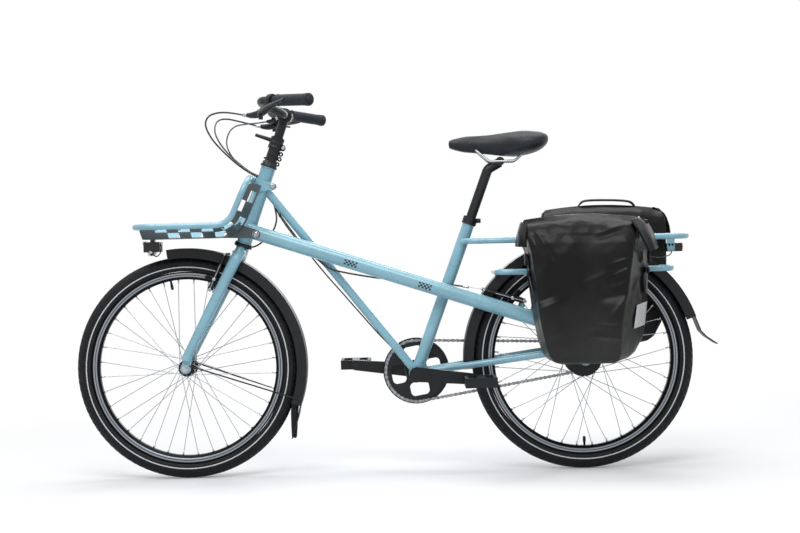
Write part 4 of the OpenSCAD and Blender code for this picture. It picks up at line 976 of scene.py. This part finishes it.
def folds(x, z):
    """Depth of the cloth's creases: each is a ridge that falls off as exp(-|distance| / width) on either side of a
    line and fades at its ends, over a slow sag of the big panel."""
    depth = -4.0 * np.exp(-((x - 1060) / 90) ** 2 - ((z - 540) / 80) ** 2)
    for (x0, z0), (x1, z1), width, amount in FOLDS:
        dx, dz = x1 - x0, z1 - z0
        length = math.hypot(dx, dz)
        along = ((x - x0) * dx + (z - z0) * dz) / length
        off = ((x - x0) * dz - (z - z0) * dx) / length
        fade = 1 / (1 + np.exp(-(along + 4) / 7)) / (1 + np.exp((along - length - 4) / 7))
        depth = depth + amount * np.exp(-np.sqrt((off / width) ** 2 + 0.06) + 0.245) * fade
    return depth


def sheet(outside, step):
    """Closed thin skin between a grid of points and the same grid moved by a step."""
    inside = (outside + np.asarray(step, float))[:, ::-1]
    return lofted(np.concatenate([outside, inside], axis=1))


def ear(outer_edge, inner_edge, outwards):
    """Folded end of the roll: a tongue between two edges, bowed away from the bag by 7 (1 - v^2) and 4 mm thick."""
    outwards = np.asarray(outwards, float)
    t, v = np.linspace(0, 1, 30)[:, None, None], np.linspace(-1, 1, 21)[None, :, None]
    steps = np.linspace(0, 12 * (len(outer_edge) - 1), 30).astype(int)
    first, last = (smooth_path(edge, 12)[steps][:, None] for edge in (outer_edge, inner_edge))
    middle = first * (1 - v) / 2 + last * (1 + v) / 2
    return sheet(middle + (7 * (1 - v ** 2) + 1.6 * np.sin(5 * v + 3 * t) * t) * outwards, -4.0 * outwards)


def bag_shell():
    """The bag's skin: rings with creases on the outer panel and a ripple down the rear gusset."""
    x, y, z = np.moveaxis(bag_rings(), -1, 0)
    panel = np.clip((y - 60) / 50, 0, 1) * np.clip((668 - z) / 30, 0, 1)
    y = y + panel * np.clip(folds(x, z), -12, 7)
    gusset = np.clip((x - 1190) / 30, 0, 1) * np.clip((640 - z) / 40, 0, 1)
    x = x + gusset * (3.5 * np.sin(z / 17.0) * np.exp(-((y - 70) / 40) ** 2) - 2.0)
    return lofted(np.stack([x, y, z], -1))


def rolled_edge():
    """The roll along the top: a tube that follows the arch and thins at its ends."""
    x = np.linspace(911, 1246, 72)
    end = np.abs((x - 1078) / 168)
    return tube(np.stack([x, 50 + 6 * arch(x) - 3 * end, 668 + 16 * arch(x)], -1), 10.5 - 3.5 * end ** 4, 24)


def folded_ends():
    """The roll's two ends, turned down over the rear and front gussets."""
    return [ear([[1196, 104, 676], [1206, 120, 654], [1222, 118, 626], [1242, 108, 592]],
                [[1226, 38, 684], [1252, 28, 666], [1266, 34, 634], [1272, 46, 600]], (0.86, 0.48, 0.16)),
            ear([[920, 100, 674], [918, 116, 654], [916, 116, 632], [915, 104, 610]],
                [[910, 30, 674], [903, 28, 656], [898, 36, 634], [895, 52, 612]], (-0.93, 0.34, 0.1))]


def reflective_patch():
    """Patch on the rear gusset: at each height it lies between the gusset's outer and inner edges."""
    v, z = np.linspace(0.44, 0.86, 9)[None], np.linspace(393, 455, 9)[:, None]
    inner, outer = (np.interp(z, BAG_LEVELS[:, 0], BAG_LEVELS[:, column]) for column in (2, 4))
    patch = np.stack([outer + (inner - outer) * v + 3.4, 143.2 - 141 * v + 0 * z, z + (v - 0.7) * 16], -1)
    return sheet(patch, (-1.6, -1.2, 0))


STRAPS = [
    # rear and front: way out of the bag, direction square to the webbing, and the line that it follows
    (1, (0.92, 0.4, 0.1), [[1262, 62, 604], [1250, 46, 588], [1246, 34, 560], [1244, 32, 520], [1242, 32, 480]]),
    (-1, (1, 0, 0.1), [[912, 66, 612], [920, 62, 592], [926, 60, 560], [931, 60, 520], [939, 60, 480]])]


def bag(name, side, shift, lift, node):
    """One roll-top bag: a creased shell, a rolled top edge, folded ends with buckled straps, and a bare reflective
    patch on the rear gusset. Its own places are X and Z of the left bag and Y outwards from the pannier rail."""
    def placed(*parts):
        points, faces = merged(parts)
        points = points + [shift, RAIL_Y + RAIL_D / 2 + 0.3, lift]
        return points * [1, side, 1], [face[::side] for face in faces]

    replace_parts(make_piece(name, placed(bag_shell()), tarpaulin, "frame"), node)
    make_piece(name + "_rolled_edge", placed(rolled_edge()), tarpaulin, "frame")
    make_piece(name + "_folded_ends", placed(*folded_ends()), tarpaulin, "frame")
    straps, buckles = [], []
    for out, flat, corners in STRAPS:
        line = smooth_path(corners)
        straps.append(flat_tube(line, 10.5, 1.0, flat, 12))
        buckles += [pillow(line[12] + [out * 2.5, 0, 0], [4.2, 13.5, 16], 5),
                    pillow(line[20] + [out * 2.0, 0, 0], [3.4, 13, 8], 5),
                    tube([line[20] + [out * 4, y, 0] for y in (-15, 15)], 2.2, 10)]
    make_piece(name + "_straps", placed(*straps), webbing, "frame")
    make_piece(name + "_buckles", placed(*buckles), polypropylene, "frame")
    make_piece(name + "_reflective_patch", placed(reflective_patch()), bead_film, "frame")


def bag_handle():
    """Webbing handle of the far bag, thicker along its middle, arched over the rolled top between two stitched
    ends."""
    line = smooth_path([[1094, 140, 712], [1102, 138, 727], [1118, 136, 736], [1170, 136, 737], [1232, 136, 733],
                        [1252, 138, 724], [1262, 140, 704]])
    thickness = 1.2 + 2.2 / (1 + (np.linspace(-1, 1, len(line)) / 0.72) ** 12)
    make_piece("bag_handle", flat_tube(line, 10, thickness, sides=12), webbing, "frame")


finish_cad_nodes()
set_camera()
set_world()
set_stage()
tyre("front_tyre_tread", FRONT_AXLE, "front_wheel", "front_tyre")
tyre("rear_tyre_tread", REAR_AXLE, "rear_wheel", "rear_tyre")
sidewall_band("front_sidewall_band", FRONT_AXLE, "front_wheel")
sidewall_band("rear_sidewall_band", REAR_AXLE, "rear_wheel")
nipples_and_valve("front", FRONT_AXLE, "front_wheel", valve_turn=100.0)
nipples_and_valve("rear", REAR_AXLE, "rear_wheel")
cables()
grips()
brake_levers()
shifter()
stem_fittings()
head_fittings()
brake_fittings("front", "steering", FRONT_AXLE, [71, 46, 516.5], [114, 46, 611.5])
brake_fittings("rear", "frame", REAR_AXLE, [923, 46, 463.5], [814, 46, 496.5])
lamps()
tube_print()
front_flap()
saddle_pad()
bag("left_bag", -1, 0, 0, "left_pannier")
bag("right_bag", 1, 85, 30, "right_pannier")
bag_handle()
